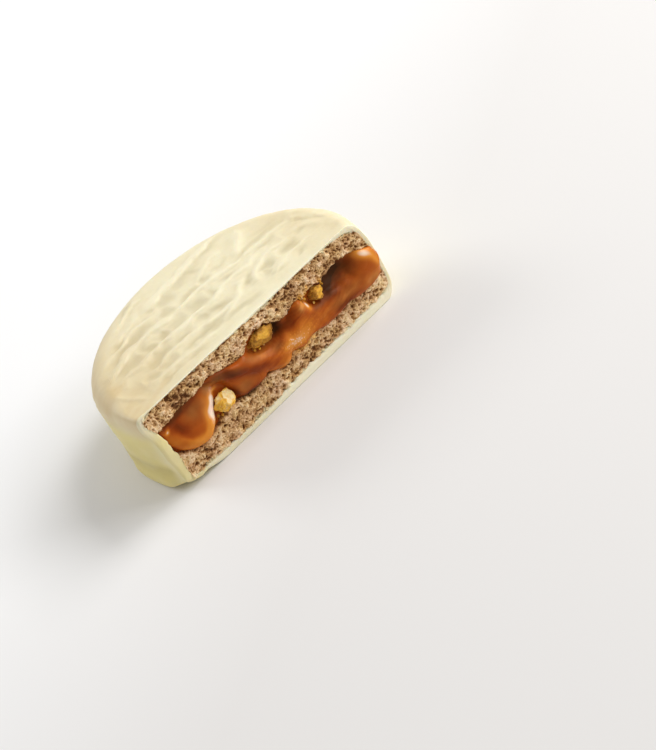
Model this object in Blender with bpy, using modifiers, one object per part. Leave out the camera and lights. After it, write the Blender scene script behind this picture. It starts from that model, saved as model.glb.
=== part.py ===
"""Alfajor: two round cocoa biscuits with caramel and walnuts between them, coated, and cut straight across.

The larger piece is left, lying on its flat base. +X runs along the cut, the cut face looks towards -Y,
and +Z is up. The origin is at the middle of the base. Sizes are in metres.
"""

import math

import bmesh
import bpy
import numpy as np
from mathutils import Vector, noise

# Outer form: an oval disc with a soft upper shoulder and a tighter foot.
HEIGHT = 0.0213
HALF_LENGTH = 0.0338
HALF_DEPTH = 0.0306
SHOULDER = 0.0050
FOOT = 0.0022

# The cut: a plane that crosses the disc in front of its middle and leans back a little as it rises.
CUT_Y = -0.0105
CUT_LEAN = 0.022

# Coating thickness. The biscuits sit off centre in it, so it is thicker at the -X end.
TOP_COAT = 0.0011
SIDE_COAT = 0.0015
BASE_COAT = 0.0013
STACK_SHIFT = 0.0005

# Low ridges that the coating's drips leave on top: they bow back with the square of x and wander a little.
RIDGE_PITCH = 0.0055
RIDGE_HEIGHT = 0.00035
RIDGE_BOW = 3.0
RIDGE_WANDER = 0.0012
RIDGE_WANDER_LENGTH = 0.009

# Slack folds round the coating's side, and how far their spacing shifts from one side to the next.
FOLD_COUNT = 13
FOLD_DEPTH = 0.00025
FOLD_SHIFT = 2

# Mean levels of the faces that hold the caramel, and how far they wander up and down.
LOWER_TOP = 0.0066
UPPER_UNDER = 0.0156
FACE_WAVE = 0.00045

# Each face is a wave along X, bent by a slower one along Y, plus a second wave across. Heights are shares
# of FACE_WAVE, and lengths are in metres a radian.
LOWER_WAVES = {
    "along": 0.7, "along_length": 0.0026, "bend": 1.5, "bend_length": 0.007,
    "across": 0.5, "across_length": 0.0035, "drift_length": 0.011,
}
UPPER_WAVES = {
    "along": 0.7, "along_length": 0.0042, "bend": 1.2, "bend_length": 0.008,
    "across": 0.4, "across_length": 0.0041, "drift_length": -0.013,
}

# Clearance between pieces that touch, and round the nuts, whose faceted pockets need a little more.
GAP = 0.0003
NUT_GAP = 0.00036

# Soft swellings (+) and hollows (-) of the caramel at the cut: x, z, half width, half height, reach.
LOBES = (
    (-0.0230, 0.0104, 0.0052, 0.0040, 0.0017),
    (-0.0085, 0.0096, 0.0034, 0.0026, 0.0009),
    (0.0030, 0.0104, 0.0052, 0.0026, 0.0012),
    (0.0150, 0.0098, 0.0058, 0.0028, 0.0010),
    (0.0272, 0.0112, 0.0034, 0.0034, 0.0012),
    (-0.0105, 0.0130, 0.0022, 0.0018, -0.0022),
    (0.0032, 0.0146, 0.0020, 0.0014, -0.0024),
    (0.0222, 0.0138, 0.0040, 0.0018, -0.0016),
)

# Walnut pieces that show at the cut: x, z, half sizes along x, y and z, and how far they stand forward
# of sitting with a quarter of their depth out.
WALNUTS = (
    (-0.0148, 0.0107, 0.0029, 0.0023, 0.0025, 0.0004),
    (-0.0011, 0.0152, 0.0036, 0.0021, 0.0019, 0.0003),
    (0.0147, 0.0138, 0.0024, 0.0019, 0.0018, 0.0002),
)
NUT_SINK = 0.5
LUMP_SIZE = 0.0016
LUMP_HEIGHT = 0.16
LUMP_SPACING = 7.3

# Fineness of the turned shapes and of the blocks that are cut with.
TURN_STEPS = 60
TOP_RINGS = 11
SHOULDER_STEPS = 6
WALL_STEPS = 4
FOOT_STEPS = 4
FACE_CELL = 0.0028
MERGE = 0.00001

# How far the blocks reach past the disc at the sides, in front of the cut, above and below.
SIDE_ROOM = 0.003
FRONT_ROOM = 0.006
END_ROOM = 0.002
CLEAR_ROOM = 0.004


def clear_scene():
    for obj in list(bpy.data.objects):
        bpy.data.objects.remove(obj)


def new_collection(name):
    collection = bpy.data.collections.new(name)
    bpy.context.scene.collection.children.link(collection)
    return collection


def make_material(name, colour, roughness):
    material = bpy.data.materials.new(name)
    material.use_nodes = True
    shader = material.node_tree.nodes["Principled BSDF"]
    shader.inputs["Base Color"].default_value = (*colour, 1.0)
    shader.inputs["Roughness"].default_value = roughness
    shader.inputs["Metallic"].default_value = 0.0
    return material


def add_object(name, mesh, collection, rig):
    obj = bpy.data.objects.new(name, mesh)
    collection.objects.link(obj)
    obj.parent = rig
    return obj


def arc(centre, radius, start, end, count):
    """Points on an arc in the (radius, height) plane, with both ends."""
    angles = np.linspace(start, end, count)
    return [(centre[0] + radius * math.cos(a), centre[1] + radius * math.sin(a)) for a in angles]


def disc_profile(radius, low, high, shoulder, foot, rings):
    """Half section of a disc, from the middle of its top down to the middle of its base."""
    top = [(r, high) for r in np.linspace(0, radius - shoulder, rings, endpoint=False)]
    upper = arc((radius - shoulder, high - shoulder), shoulder, math.pi / 2, 0, SHOULDER_STEPS)
    wall = [(radius, z) for z in np.linspace(high - shoulder, low + foot, WALL_STEPS)[1:-1]]
    lower = arc((radius - foot, low + foot), foot, 0, -math.pi / 2, FOOT_STEPS)
    return top + upper + wall + lower + [(0, low)]


def turned_mesh(name, profile, depth_ratio, shift_x):
    """Turns a half section about Z with a Screw, then narrows it to an oval and shifts it along X."""
    line = bpy.data.meshes.new(name)
    points = [(r, 0, z) for r, z in profile]
    line.from_pydata(points, [(i, i + 1) for i in range(len(points) - 1)], [])
    turner = bpy.data.objects.new(name, line)
    bpy.context.scene.collection.objects.link(turner)
    screw = turner.modifiers.new("Turn", "SCREW")
    screw.steps = TURN_STEPS
    screw.render_steps = TURN_STEPS
    screw.use_merge_vertices = True
    screw.merge_threshold = MERGE
    graph = bpy.context.evaluated_depsgraph_get()
    mesh = bpy.data.meshes.new_from_object(turner.evaluated_get(graph))
    bpy.data.objects.remove(turner)
    for vertex in mesh.vertices:
        vertex.co.x += shift_x
        vertex.co.y *= depth_ratio
    mesh.name = name
    mesh.shade_smooth()
    return mesh


def core_mesh(name):
    """The space inside the coating, less the clearance: biscuits and caramel are cut from it."""
    inset = SIDE_COAT + GAP
    radius = HALF_LENGTH - inset
    profile = disc_profile(
        radius, BASE_COAT + GAP, HEIGHT - TOP_COAT - GAP, SHOULDER - inset, FOOT - BASE_COAT, 2
    )
    return turned_mesh(name, profile, (HALF_DEPTH - inset) / radius, STACK_SHIFT)


def cavity_mesh(name):
    """The whole space inside the coating."""
    radius = HALF_LENGTH - SIDE_COAT
    profile = disc_profile(
        radius, BASE_COAT, HEIGHT - TOP_COAT, SHOULDER - SIDE_COAT, FOOT - BASE_COAT + GAP, 2
    )
    return turned_mesh(name, profile, (HALF_DEPTH - SIDE_COAT) / radius, STACK_SHIFT)


def ridge_dip(x, y):
    """Depth below the crests of the drip ridges: they run along the cut, bowed, about a pitch apart."""
    across = y + RIDGE_BOW * x * x + RIDGE_WANDER * math.sin(x / RIDGE_WANDER_LENGTH)
    return RIDGE_HEIGHT * (0.5 - 0.5 * math.cos(2 * math.pi * across / RIDGE_PITCH))


def outer_mesh(name):
    """The coating's outside: the disc with drip ridges on top and shallow folds round the side."""
    profile = disc_profile(HALF_LENGTH, 0, HEIGHT, SHOULDER, FOOT, TOP_RINGS)
    mesh = turned_mesh(name, profile, HALF_DEPTH / HALF_LENGTH, 0)
    for vertex in mesh.vertices:
        x, y, z = vertex.co
        around = math.atan2(y, x)
        topness = max(0.0, (z - HEIGHT + SHOULDER) / SHOULDER)
        sideness = math.sin(math.pi * z / HEIGHT) ** 2 * (1 - topness)
        fold = 0.5 - 0.5 * math.cos(FOLD_COUNT * around + FOLD_SHIFT * math.sin(2 * around))
        draw_in = 1 - sideness * fold * FOLD_DEPTH / HALF_DEPTH
        vertex.co = (x * draw_in, y * draw_in, z - topness * ridge_dip(x, y))
    return mesh


def wavy(x, y, waves):
    """A wandering height, as the waves say."""
    bend = waves["bend"] * math.sin(y / waves["bend_length"])
    along = math.sin(x / waves["along_length"] + bend)
    across = math.cos(y / waves["across_length"] + x / waves["drift_length"])
    return FACE_WAVE * (waves["along"] * along + waves["across"] * across)


def lower_face(x, y):
    """Height of the lower biscuit's crumbly upper face."""
    return LOWER_TOP + wavy(x, y, LOWER_WAVES)


def upper_face(x, y):
    """Height of the upper biscuit's underside."""
    return UPPER_UNDER + wavy(x, y, UPPER_WAVES)


def cut_plane(z):
    """Y of the cut at a height."""
    return CUT_Y + CUT_LEAN * (z - HEIGHT / 2)


def caramel_front(x, z):
    """Y of the caramel's skin at the cut: level with it, swollen by lobes and sunk by hollows."""
    reach = 0.0
    for lobe_x, lobe_z, half_width, half_height, lobe_reach in LOBES:
        distance = ((x - lobe_x) / half_width) ** 2 + ((z - lobe_z) / half_height) ** 2
        reach += lobe_reach * math.exp(-distance)
    return cut_plane(z) - reach


def curved_block(name, spans, place, near, far):
    """A grid laid over two spans, bent by near, and extruded to a second skin that is bent by far.

    place(a, b, c) turns the two grid coordinates and a skin's height into a point.
    """
    (a_low, a_high), (b_low, b_high) = spans
    solid = bmesh.new()
    bmesh.ops.create_grid(
        solid,
        x_segments=round((a_high - a_low) / FACE_CELL),
        y_segments=round((b_high - b_low) / FACE_CELL),
        size=0.5,
    )
    grid = [
        (v, a_low + (v.co.x + 0.5) * (a_high - a_low), b_low + (v.co.y + 0.5) * (b_high - b_low))
        for v in solid.verts
    ]
    near_corners = {v: (a, b) for v, a, b in grid}
    made = bmesh.ops.extrude_face_region(solid, geom=solid.faces[:])
    flat = {tuple(v.co): (a, b) for v, (a, b) in near_corners.items()}
    for vertex in [g for g in made["geom"] if isinstance(g, bmesh.types.BMVert)]:
        a, b = flat[tuple(vertex.co)]
        vertex.co = place(a, b, far(a, b))
    for vertex, (a, b) in near_corners.items():
        vertex.co = place(a, b, near(a, b))
    bmesh.ops.recalc_face_normals(solid, faces=solid.faces[:])
    mesh = bpy.data.meshes.new(name)
    solid.to_mesh(mesh)
    solid.free()
    return mesh


def layer_block(name, near, far):
    """A block over the whole disc, between two level or wavy skins."""
    reach_x = HALF_LENGTH + SIDE_ROOM
    reach_y = HALF_DEPTH + SIDE_ROOM
    spans = ((-reach_x, reach_x), (CUT_Y - FRONT_ROOM, reach_y))
    return curved_block(name, spans, lambda a, b, c: (a, b, c), near, far)


def front_block(name, near):
    """A block that takes away everything in front of a skin at the cut."""
    reach_x = HALF_LENGTH + SIDE_ROOM
    spans = ((-reach_x, reach_x), (-SIDE_ROOM, HEIGHT + SIDE_ROOM))
    clear_of_disc = -HALF_DEPTH - CLEAR_ROOM
    return curved_block(name, spans, lambda a, b, c: (a, c, b), near, lambda a, b: clear_of_disc)


def walnut_mesh(name, walnut, seed, grow):
    """A lumpy nut piece: an icosphere stretched to its half sizes, with noise lumps, grown all round."""
    x, z, half_x, half_y, half_z, forward = walnut
    lump = bmesh.new()
    bmesh.ops.create_icosphere(lump, subdivisions=2, radius=1.0)
    middle = Vector((x, cut_plane(z) + half_y * NUT_SINK - forward, z))
    for vertex in lump.verts:
        outward = vertex.co.normalized()
        surface = Vector((outward.x * half_x, outward.y * half_y, outward.z * half_z))
        swell = LUMP_HEIGHT * noise.noise(surface / LUMP_SIZE + Vector((seed, 0.0, 0.0)))
        vertex.co = middle + surface * (1 + swell) + outward * grow
    mesh = bpy.data.meshes.new(name)
    lump.to_mesh(mesh)
    lump.free()
    mesh.shade_smooth()
    return mesh


def add_boolean(obj, operation, other):
    modifier = obj.modifiers.new(other.name, "BOOLEAN")
    modifier.operation = operation
    modifier.solver = "EXACT"
    modifier.object = other


def make_cutters(collection, rig):
    """The shapes that the pieces are cut with, by name."""
    meshes = {
        "cavity": cavity_mesh("cavity"),
        "cut_front": front_block("cut_front", lambda x, z: cut_plane(z)),
        "caramel_front": front_block("caramel_front", caramel_front),
        "upper_layer": layer_block("upper_layer", upper_face, lambda x, y: HEIGHT + END_ROOM),
        "lower_layer": layer_block("lower_layer", lambda x, y: -END_ROOM, lower_face),
        "caramel_layer": layer_block(
            "caramel_layer",
            lambda x, y: lower_face(x, y) + GAP,
            lambda x, y: upper_face(x, y) - GAP,
        ),
    }
    for number, walnut in enumerate(WALNUTS, 1):
        name = f"walnut_{number}_pocket"
        meshes[name] = walnut_mesh(name, walnut, number * LUMP_SPACING, NUT_GAP)
    cutters = {name: add_object(name, mesh, collection, rig) for name, mesh in meshes.items()}
    for cutter in cutters.values():
        cutter.hide_render = True
        cutter.display_type = "WIRE"
    return cutters


def make_coating(collection, rig, cutters):
    coating = add_object("coating", outer_mesh("coating"), collection, rig)
    coating.data.materials.append(make_material("cream_coating", (0.84, 0.78, 0.60), 0.42))
    add_boolean(coating, "DIFFERENCE", cutters["cavity"])
    add_boolean(coating, "DIFFERENCE", cutters["cut_front"])
    return coating


def make_layer(name, collection, rig, cutters, layer, front):
    """A biscuit or the caramel: the core, kept inside its layer, cut at the front, hollowed for the nuts."""
    piece = add_object(name, core_mesh(name), collection, rig)
    add_boolean(piece, "INTERSECT", cutters[layer])
    add_boolean(piece, "DIFFERENCE", cutters[front])
    for number in range(1, len(WALNUTS) + 1):
        add_boolean(piece, "DIFFERENCE", cutters[f"walnut_{number}_pocket"])
    return piece


def make_walnuts(collection, rig):
    nut = make_material("walnut_pieces", (0.60, 0.36, 0.10), 0.45)
    pieces = []
    for number, walnut in enumerate(WALNUTS, 1):
        name = f"walnut_{number}"
        piece = add_object(name, walnut_mesh(name, walnut, number * LUMP_SPACING, 0.0), collection, rig)
        piece.data.materials.append(nut)
        pieces.append(piece)
    return pieces


def centre_on_base(pieces, rig):
    """Moves the rig so that the middle of the whole piece's base is at the origin."""
    bpy.context.view_layer.update()
    graph = bpy.context.evaluated_depsgraph_get()
    corners = [
        np.array([v.co for v in piece.evaluated_get(graph).data.vertices]) for piece in pieces
    ]
    points = np.vstack(corners)
    low = points.min(axis=0)
    high = points.max(axis=0)
    rig.location = (-(low[0] + high[0]) / 2, -(low[1] + high[1]) / 2, -low[2])
    bpy.context.view_layer.update()


def main():
    clear_scene()
    parts = new_collection("alfajor")
    tools = new_collection("alfajor_cutters")
    rig = bpy.data.objects.new("alfajor_rig", None)
    parts.objects.link(rig)

    cutters = make_cutters(tools, rig)
    crumb = make_material("cocoa_crumb", (0.30, 0.15, 0.09), 0.9)
    caramel = make_material("caramel", (0.45, 0.14, 0.03), 0.18)

    coating = make_coating(parts, rig, cutters)
    upper = make_layer("upper_biscuit", parts, rig, cutters, "upper_layer", "cut_front")
    lower = make_layer("lower_biscuit", parts, rig, cutters, "lower_layer", "cut_front")
    filling = make_layer("filling", parts, rig, cutters, "caramel_layer", "caramel_front")
    upper.data.materials.append(crumb)
    lower.data.materials.append(crumb)
    filling.data.materials.append(caramel)
    walnuts = make_walnuts(parts, rig)

    centre_on_base([coating, upper, lower, filling, *walnuts], rig)


main()
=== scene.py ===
import itertools
import math

import bmesh
import bpy
import numpy as np
from mathutils import Matrix, Vector


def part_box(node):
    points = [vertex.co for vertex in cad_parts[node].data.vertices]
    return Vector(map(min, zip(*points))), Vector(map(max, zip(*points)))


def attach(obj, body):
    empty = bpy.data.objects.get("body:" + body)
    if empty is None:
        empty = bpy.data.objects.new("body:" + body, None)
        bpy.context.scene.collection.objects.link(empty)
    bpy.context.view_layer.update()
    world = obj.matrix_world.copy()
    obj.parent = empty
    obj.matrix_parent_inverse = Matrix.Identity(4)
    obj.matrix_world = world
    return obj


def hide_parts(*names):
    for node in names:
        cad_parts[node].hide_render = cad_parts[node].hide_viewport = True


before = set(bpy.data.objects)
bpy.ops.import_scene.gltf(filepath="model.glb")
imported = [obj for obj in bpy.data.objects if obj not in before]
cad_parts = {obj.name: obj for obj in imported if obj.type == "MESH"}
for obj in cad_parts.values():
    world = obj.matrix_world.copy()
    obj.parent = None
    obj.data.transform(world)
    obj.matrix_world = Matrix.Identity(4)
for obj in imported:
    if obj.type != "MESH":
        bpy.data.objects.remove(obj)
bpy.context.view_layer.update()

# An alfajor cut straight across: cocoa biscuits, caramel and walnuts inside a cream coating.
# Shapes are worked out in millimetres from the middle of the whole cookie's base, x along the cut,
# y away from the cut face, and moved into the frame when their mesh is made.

# ---- sizes

MM = 0.001
# The whole cookie's depth over its length, and how far the cut leans back for each millimetre up.
OVAL = 0.9053
CUT_LEAN = 0.022
coat_low, coat_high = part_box("coating")
HALF_LENGTH = (coat_high.x - coat_low.x) / 2 / MM
HALF_DEPTH = HALF_LENGTH * OVAL
HEIGHT = (coat_high.z - coat_low.z) / MM
CENTRE_Y = coat_high.y / MM - HALF_DEPTH
CUT_Y = coat_low.y / MM - CENTRE_Y + CUT_LEAN * HEIGHT / 2
# Half the run over which a line through knots is averaged.
KNOT_WINDOW = 0.45
# Thickness of the coating at the back, and how far in from the oval the biscuits and the caramel end.
COATING_WALL = 2.2
STACK_WALL = 2.3
# Steps from the cut (0) to the back (1) at which a rim swept back is drawn.
COATING_STEPS = (0.03, 0.15, 0.4, 0.65, 0.85, 0.96, 1.0)
STACK_STEPS = (0.03, 0.1, 0.25, 0.45, 0.65, 0.82, 0.93, 0.985, 1.0)
# The rounding of a swept piece's upper edge, and how far its top sinks behind the cut.
BACK_ROUNDING = 5.0
BACK_SINK = 1.8

# The stack inside the coating, at the cut: (height, x) up each end and (x, height) along it.
LEFT_END = (
    (2.3, -29.3), (5, -29.6), (7, -29.3), (10, -29.7), (13, -30.1), (16, -30.6), (19, -32.1), (21, -31.6),
)
RIGHT_END = (
    (2.3, 29.6), (3.5, 30.5), (6, 31), (8, 30.6), (11, 31.3), (14, 30.4), (17, 29.9), (19, 29.2), (21, 27.6),
)
STACK_TOP = (
    (-32, 20.4), (-30, 20.9), (-14, 20.9), (-9, 20.8), (0, 20.7), (9, 20.75), (14, 20.85), (20, 20.8),
    (24, 20.45), (27, 19.9), (28.5, 19.2), (30, 18),
)
STACK_BASE = (
    (-30, 2), (-26, 1.7), (-20, 1.5), (-14, 1.2), (-8, 1.3), (-4, 1.5), (0, 1.8), (5, 2), (26, 2), (29, 2.3),
    (31, 3.4),
)
# Where the biscuits meet the caramel, at the cut: (x, height).
UPPER_FACE = (
    (-31, 15.4), (-28, 15.7), (-25, 16.1), (-22, 16.1), (-19, 16.5), (-16, 16.8), (-13.5, 16.5), (-11, 15.7),
    (-8.5, 15.1), (-6, 15.2), (-5, 15.9), (-3.6, 17.2), (-1, 17.6), (1, 17.3), (2.2, 16.4), (4, 15.3),
    (6, 14.9), (8, 15.4), (9.8, 15.9), (11.5, 14.9), (13, 15.8), (14.5, 16.1), (16.8, 14.9), (18, 15.5),
    (20, 15.9), (23, 16.1), (26, 15.5), (28, 14.5), (29.5, 13.8), (31, 13.2),
)
LOWER_FACE = (
    (-31, 9), (-28.6, 8.3), (-27, 7.2), (-25, 6.2), (-22.5, 5.9), (-19.5, 6.4), (-18, 7.2), (-16.5, 7.9),
    (-13, 8.1), (-11.5, 7.6), (-9.5, 6.6), (-7.5, 6.6), (-5.5, 7.4), (-3.5, 7.6), (-1.5, 7), (0, 6.2),
    (2.5, 6.3), (4, 7.5), (6.5, 6.6), (8.5, 7.4), (11, 7.3), (13, 6.6), (17, 6.5), (20.2, 7.1), (22.5, 6.3),
    (27, 6), (29, 6.5), (31, 7.2),
)


def blend(low, high, share):
    """A straight blend: low at share 0, high at share 1."""
    return low + (high - low) * share


def ease(value):
    """0 below 0 and 1 above 1, with a smooth S between: 3 v^2 - 2 v^3."""
    value = np.clip(value, 0.0, 1.0)
    return value * value * (3 - 2 * value)


def rise(value, start, run):
    """The same S, from 0 at start to 1 a run further on; a negative run goes the other way."""
    return ease((value - start) / run)


def through(knots, where):
    """A smooth curve through (place, value) knots: straight runs between them, averaged over a window."""
    places, values = np.array(knots, float).T
    window = np.linspace(-KNOT_WINDOW, KNOT_WINDOW, 7)
    where = np.asarray(where, float)
    return np.mean([np.interp(where + w, places, values) for w in window], axis=0)


def cut_plane(z):
    """Y of the cut at a height."""
    return CUT_Y + CUT_LEAN * (z - HEIGHT / 2)


def oval_share(x, z, middle_x, middle_z, half_width, half_height, turn=0):
    """Distance from an oval's middle, 1 on its edge, for an oval turned by an angle in degrees."""
    angle = math.radians(turn)
    along = (x - middle_x) * math.cos(angle) + (z - middle_z) * math.sin(angle)
    over = -(x - middle_x) * math.sin(angle) + (z - middle_z) * math.cos(angle)
    return np.hypot(along / half_width, over / half_height)


def hill(distance, width):
    """A bell along a line: exp(-(distance / width)^2)."""
    return np.exp(-((distance / width) ** 2))


def bell(x, z, place, power=2):
    """A bell over an oval, given by its numbers: exp(-share^power)."""
    return np.exp(-(oval_share(x, z, *place) ** power))


# ---- noise

def cell_random(cells, seed):
    """Repeatable numbers in 0..1 for whole-number cells: cell and seed mixed by large odd multipliers."""
    mixed = np.full(cells.shape[:-1], (seed * 668265263 + 374761393) % 2**32, np.uint32)
    for axis in range(cells.shape[-1]):
        mixed = (mixed ^ cells[..., axis].astype(np.int64).astype(np.uint32)) * np.uint32(2654435761)
        mixed ^= mixed >> np.uint32(15)
    mixed *= np.uint32(2246822519)
    mixed ^= mixed >> np.uint32(13)
    return mixed / 2.0**32


def soft_noise(points, size, seed):
    """Smooth noise in -1..1: random values at the corners of cells of a size, blended by a quintic curve."""
    place = points / np.asarray(size, float)
    cell = np.floor(place)
    part = place - cell
    part = part**3 * (part * (part * 6 - 15) + 10)
    total = np.zeros(place.shape[:-1])
    for corner in itertools.product((0, 1), repeat=place.shape[-1]):
        weight = np.prod(np.where(np.array(corner) == 1, part, 1 - part), axis=-1)
        total += weight * cell_random(cell + np.array(corner), seed)
    return 2 * total - 1


def rough_noise(points, size, seed, layers):
    """Soft noise with finer layers on top, each half the size and half the height of the last."""
    size = np.asarray(size, float)
    return sum(soft_noise(points, size / 2**n, seed + n) / 2**n for n in range(layers))


def pebbles(points, size, seed):
    """Points scattered one to a cell: distance to the nearest and to the next, and the nearest's number."""
    place = points / np.asarray(size, float)
    cell = np.floor(place)
    nearest = np.full(place.shape[:-1], 9.0)
    second = nearest.copy()
    number = np.zeros(nearest.shape)
    for step in itertools.product((-1, 0, 1), repeat=place.shape[-1]):
        other = cell + np.array(step)
        jitter = np.stack([cell_random(other, seed + 11 * (axis + 1)) for axis in range(place.shape[-1])], -1)
        distance = np.linalg.norm(other + jitter - place, axis=-1)
        closer = distance < nearest
        second = np.where(closer, nearest, np.minimum(second, distance))
        number = np.where(closer, cell_random(other, seed), number)
        nearest = np.minimum(nearest, distance)
    return nearest, second, number


# ---- meshes

def share_grid(columns, rows):
    """Shares from 0 to 1 along a grid's columns and its rows, ready to be combined."""
    return np.linspace(0, 1, columns)[None, :], np.linspace(0, 1, rows)[:, None]


def grid_faces(rows, columns, first=0):
    """Four-sided faces over a grid of points numbered row by row."""
    number = first + np.arange(rows * columns).reshape(rows, columns)
    corners = (number[:-1, :-1], number[:-1, 1:], number[1:, 1:], number[1:, :-1])
    return np.stack(corners, -1).reshape(-1, 4)


def rim_of(rows, columns):
    """Numbers of a grid's outer points: along the first row, down the last column, back and up again."""
    number = np.arange(rows * columns).reshape(rows, columns)
    return np.concatenate((number[0, :-1], number[:-1, -1], number[-1, :0:-1], number[:0:-1, 0]))


def closed_faces(rows, columns, loops):
    """Faces over a grid, and on from its rim through closed loops of points that follow it, one to each."""
    rim = rim_of(rows, columns)
    number = rows * columns + np.arange(loops * len(rim)).reshape(loops, -1)
    number = np.vstack((rim, number))
    after = np.roll(number, -1, axis=1)
    sides = np.stack((number[:-1], after[:-1], after[1:], number[1:]), -1).reshape(-1, 4)
    return np.concatenate((grid_faces(rows, columns), sides))


def add_piece(name, points, faces, material, node, values):
    """Makes points in millimetres a mesh in the frame, welded and facing out, that rides the body."""
    placed = (points.reshape(-1, 3) + (0.0, CENTRE_Y, 0.0)) * MM
    mesh = bpy.data.meshes.new(name)
    mesh.from_pydata(placed, [], faces.tolist())
    for label, numbers in values.items():
        layer = mesh.attributes.new(label, "FLOAT", "POINT")
        layer.data.foreach_set("value", np.ascontiguousarray(numbers, np.float32).ravel())
    solid = bmesh.new()
    solid.from_mesh(mesh)
    bmesh.ops.remove_doubles(solid, verts=solid.verts, dist=1e-7)
    bmesh.ops.dissolve_degenerate(solid, edges=solid.edges, dist=1e-8)
    bmesh.ops.recalc_face_normals(solid, faces=solid.faces)
    solid.to_mesh(mesh)
    solid.free()
    mesh.shade_smooth()
    mesh.materials.append(material)
    piece = bpy.data.objects.new(name, mesh)
    bpy.context.scene.collection.objects.link(piece)
    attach(piece, "root")
    if node:
        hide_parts(node)
    return piece


def swept_back(loop, steps, wall):
    """A closed loop at the cut carried back through the cookie, narrowing with the oval to a line.

    Its x shrinks by the oval's width at that depth. Its height is capped by the top and by a quarter round
    along the oval's edge. The two sides meet on the line, inside the cookie, but aren't joined there.
    """
    start = cut_plane(loop[:, 2])
    first_width = math.sqrt(1 - (CUT_Y / (HALF_DEPTH - wall)) ** 2)
    loops = []
    for part in steps:
        y = blend(start, HALF_DEPTH - wall, part)
        width = np.sqrt(np.clip(1 - (y / (HALF_DEPTH - wall)) ** 2, 0, 1)) / first_width
        x = loop[:, 0] * np.minimum(width, 1.0) * (1 - 0.02 * ease(part / 0.1))
        inset = (1 - np.hypot(x / HALF_LENGTH, y / HALF_DEPTH)) * HALF_DEPTH
        into = np.clip(BACK_ROUNDING - inset, 0, BACK_ROUNDING)
        round_off = BACK_ROUNDING - np.sqrt(np.clip(BACK_ROUNDING**2 - into**2, 0, BACK_ROUNDING**2))
        z = np.minimum(loop[:, 2], HEIGHT - BACK_SINK * ease(part / 0.08) - round_off)
        loops.append(np.stack((x, y, z), -1))
    return loops


# ---- coating

# Drip ridges on top: x and y of the start, the middle and the end, then width and height.
RIDGES = (
    (-29, 6, -17, 10.4, -6, 9.6, 0.95, 0.42), (-8, 9.7, 3, 9.6, 13, 8, 0.95, 0.36),
    (11, 8, 18, 7.2, 25, 7.4, 0.9, 0.24), (-27, 3, -14, 4.2, -1, 3.4, 0.9, 0.38),
    (-3, 3.4, 6, 4.6, 16, 4, 0.9, 0.28), (-20, -0.6, -12, -0.9, -5, -1.8, 0.8, 0.26),
    (-7, -2, -2, -2.4, 3, -2.6, 0.8, 0.26), (-24.5, -4.6, -15, -5.2, -4, -5.6, 0.8, 0.24),
    (-3, -4.6, 3, -1.6, 8, 3.2, 0.85, 0.26), (8, -3.4, 12, 1.8, 22, 1.6, 0.8, 0.24),
    (10, -6, 17, -3, 25, -3.6, 0.8, 0.22), (-27, 12, -17, 14.4, -8, 15, 0.85, 0.26),
    (-22, 16.8, -16, 17.2, -9, 19.8, 0.9, 0.24), (-9.5, 18.4, 2, 20.6, 16.5, 21.6, 1.1, 0.44),
    (-18, 20.6, -12, 21.6, -5, 25, 0.9, 0.26), (1, 12, 8, 15.6, 13, 15.2, 1, 0.2),
    (12, 9.8, 16, 13.2, 18.4, 18.6, 1.6, 0.3), (24.5, 7.2, 28, 4.2, 29.2, -3, 1.2, 0.18),
    (21, 2.4, 25.4, 1.2, 27.8, -4.6, 1.3, 0.22), (-30.5, 3, -29, -2.4, -26.6, -6.8, 1, 0.18),
)
# Low links between the ridges: x and y of the start and the end. All are of one width and height.
CROSS_LINKS = (
    (-19, 4.6, -18.6, 9.4), (-14.8, 4.6, -14.4, 9.2), (-10.6, 4.2, -11.2, 9.4), (-5.8, 3.8, -5.6, 9.6),
    (0.2, 4.2, 0.6, 9.2), (3, 3.8, 4.4, 8.6), (-13.6, -0.6, -13.2, 3.8), (-7.4, -1.8, -6.6, 3.6),
    (-11.6, 10, -9.6, 15), (-5, 10, -5, 15.6), (1.8, 9.8, 2.2, 14), (5.6, 9.6, 6.2, 14.8), (9.6, -2, 10.2, 2),
    (15.6, -2.6, 16.4, 1.8), (-15.8, -5.4, -14.6, -1.6), (-24.6, -4, -24, -0.4), (13, 4, 14.2, 7.6),
    (20.4, 2, 21.4, 7.2), (-27.4, 0.6, -24.4, 3.2), (-2.4, 16, -1.6, 20),
)
LINK_WIDTH = 0.85
LINK_HEIGHT = 0.10
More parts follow.
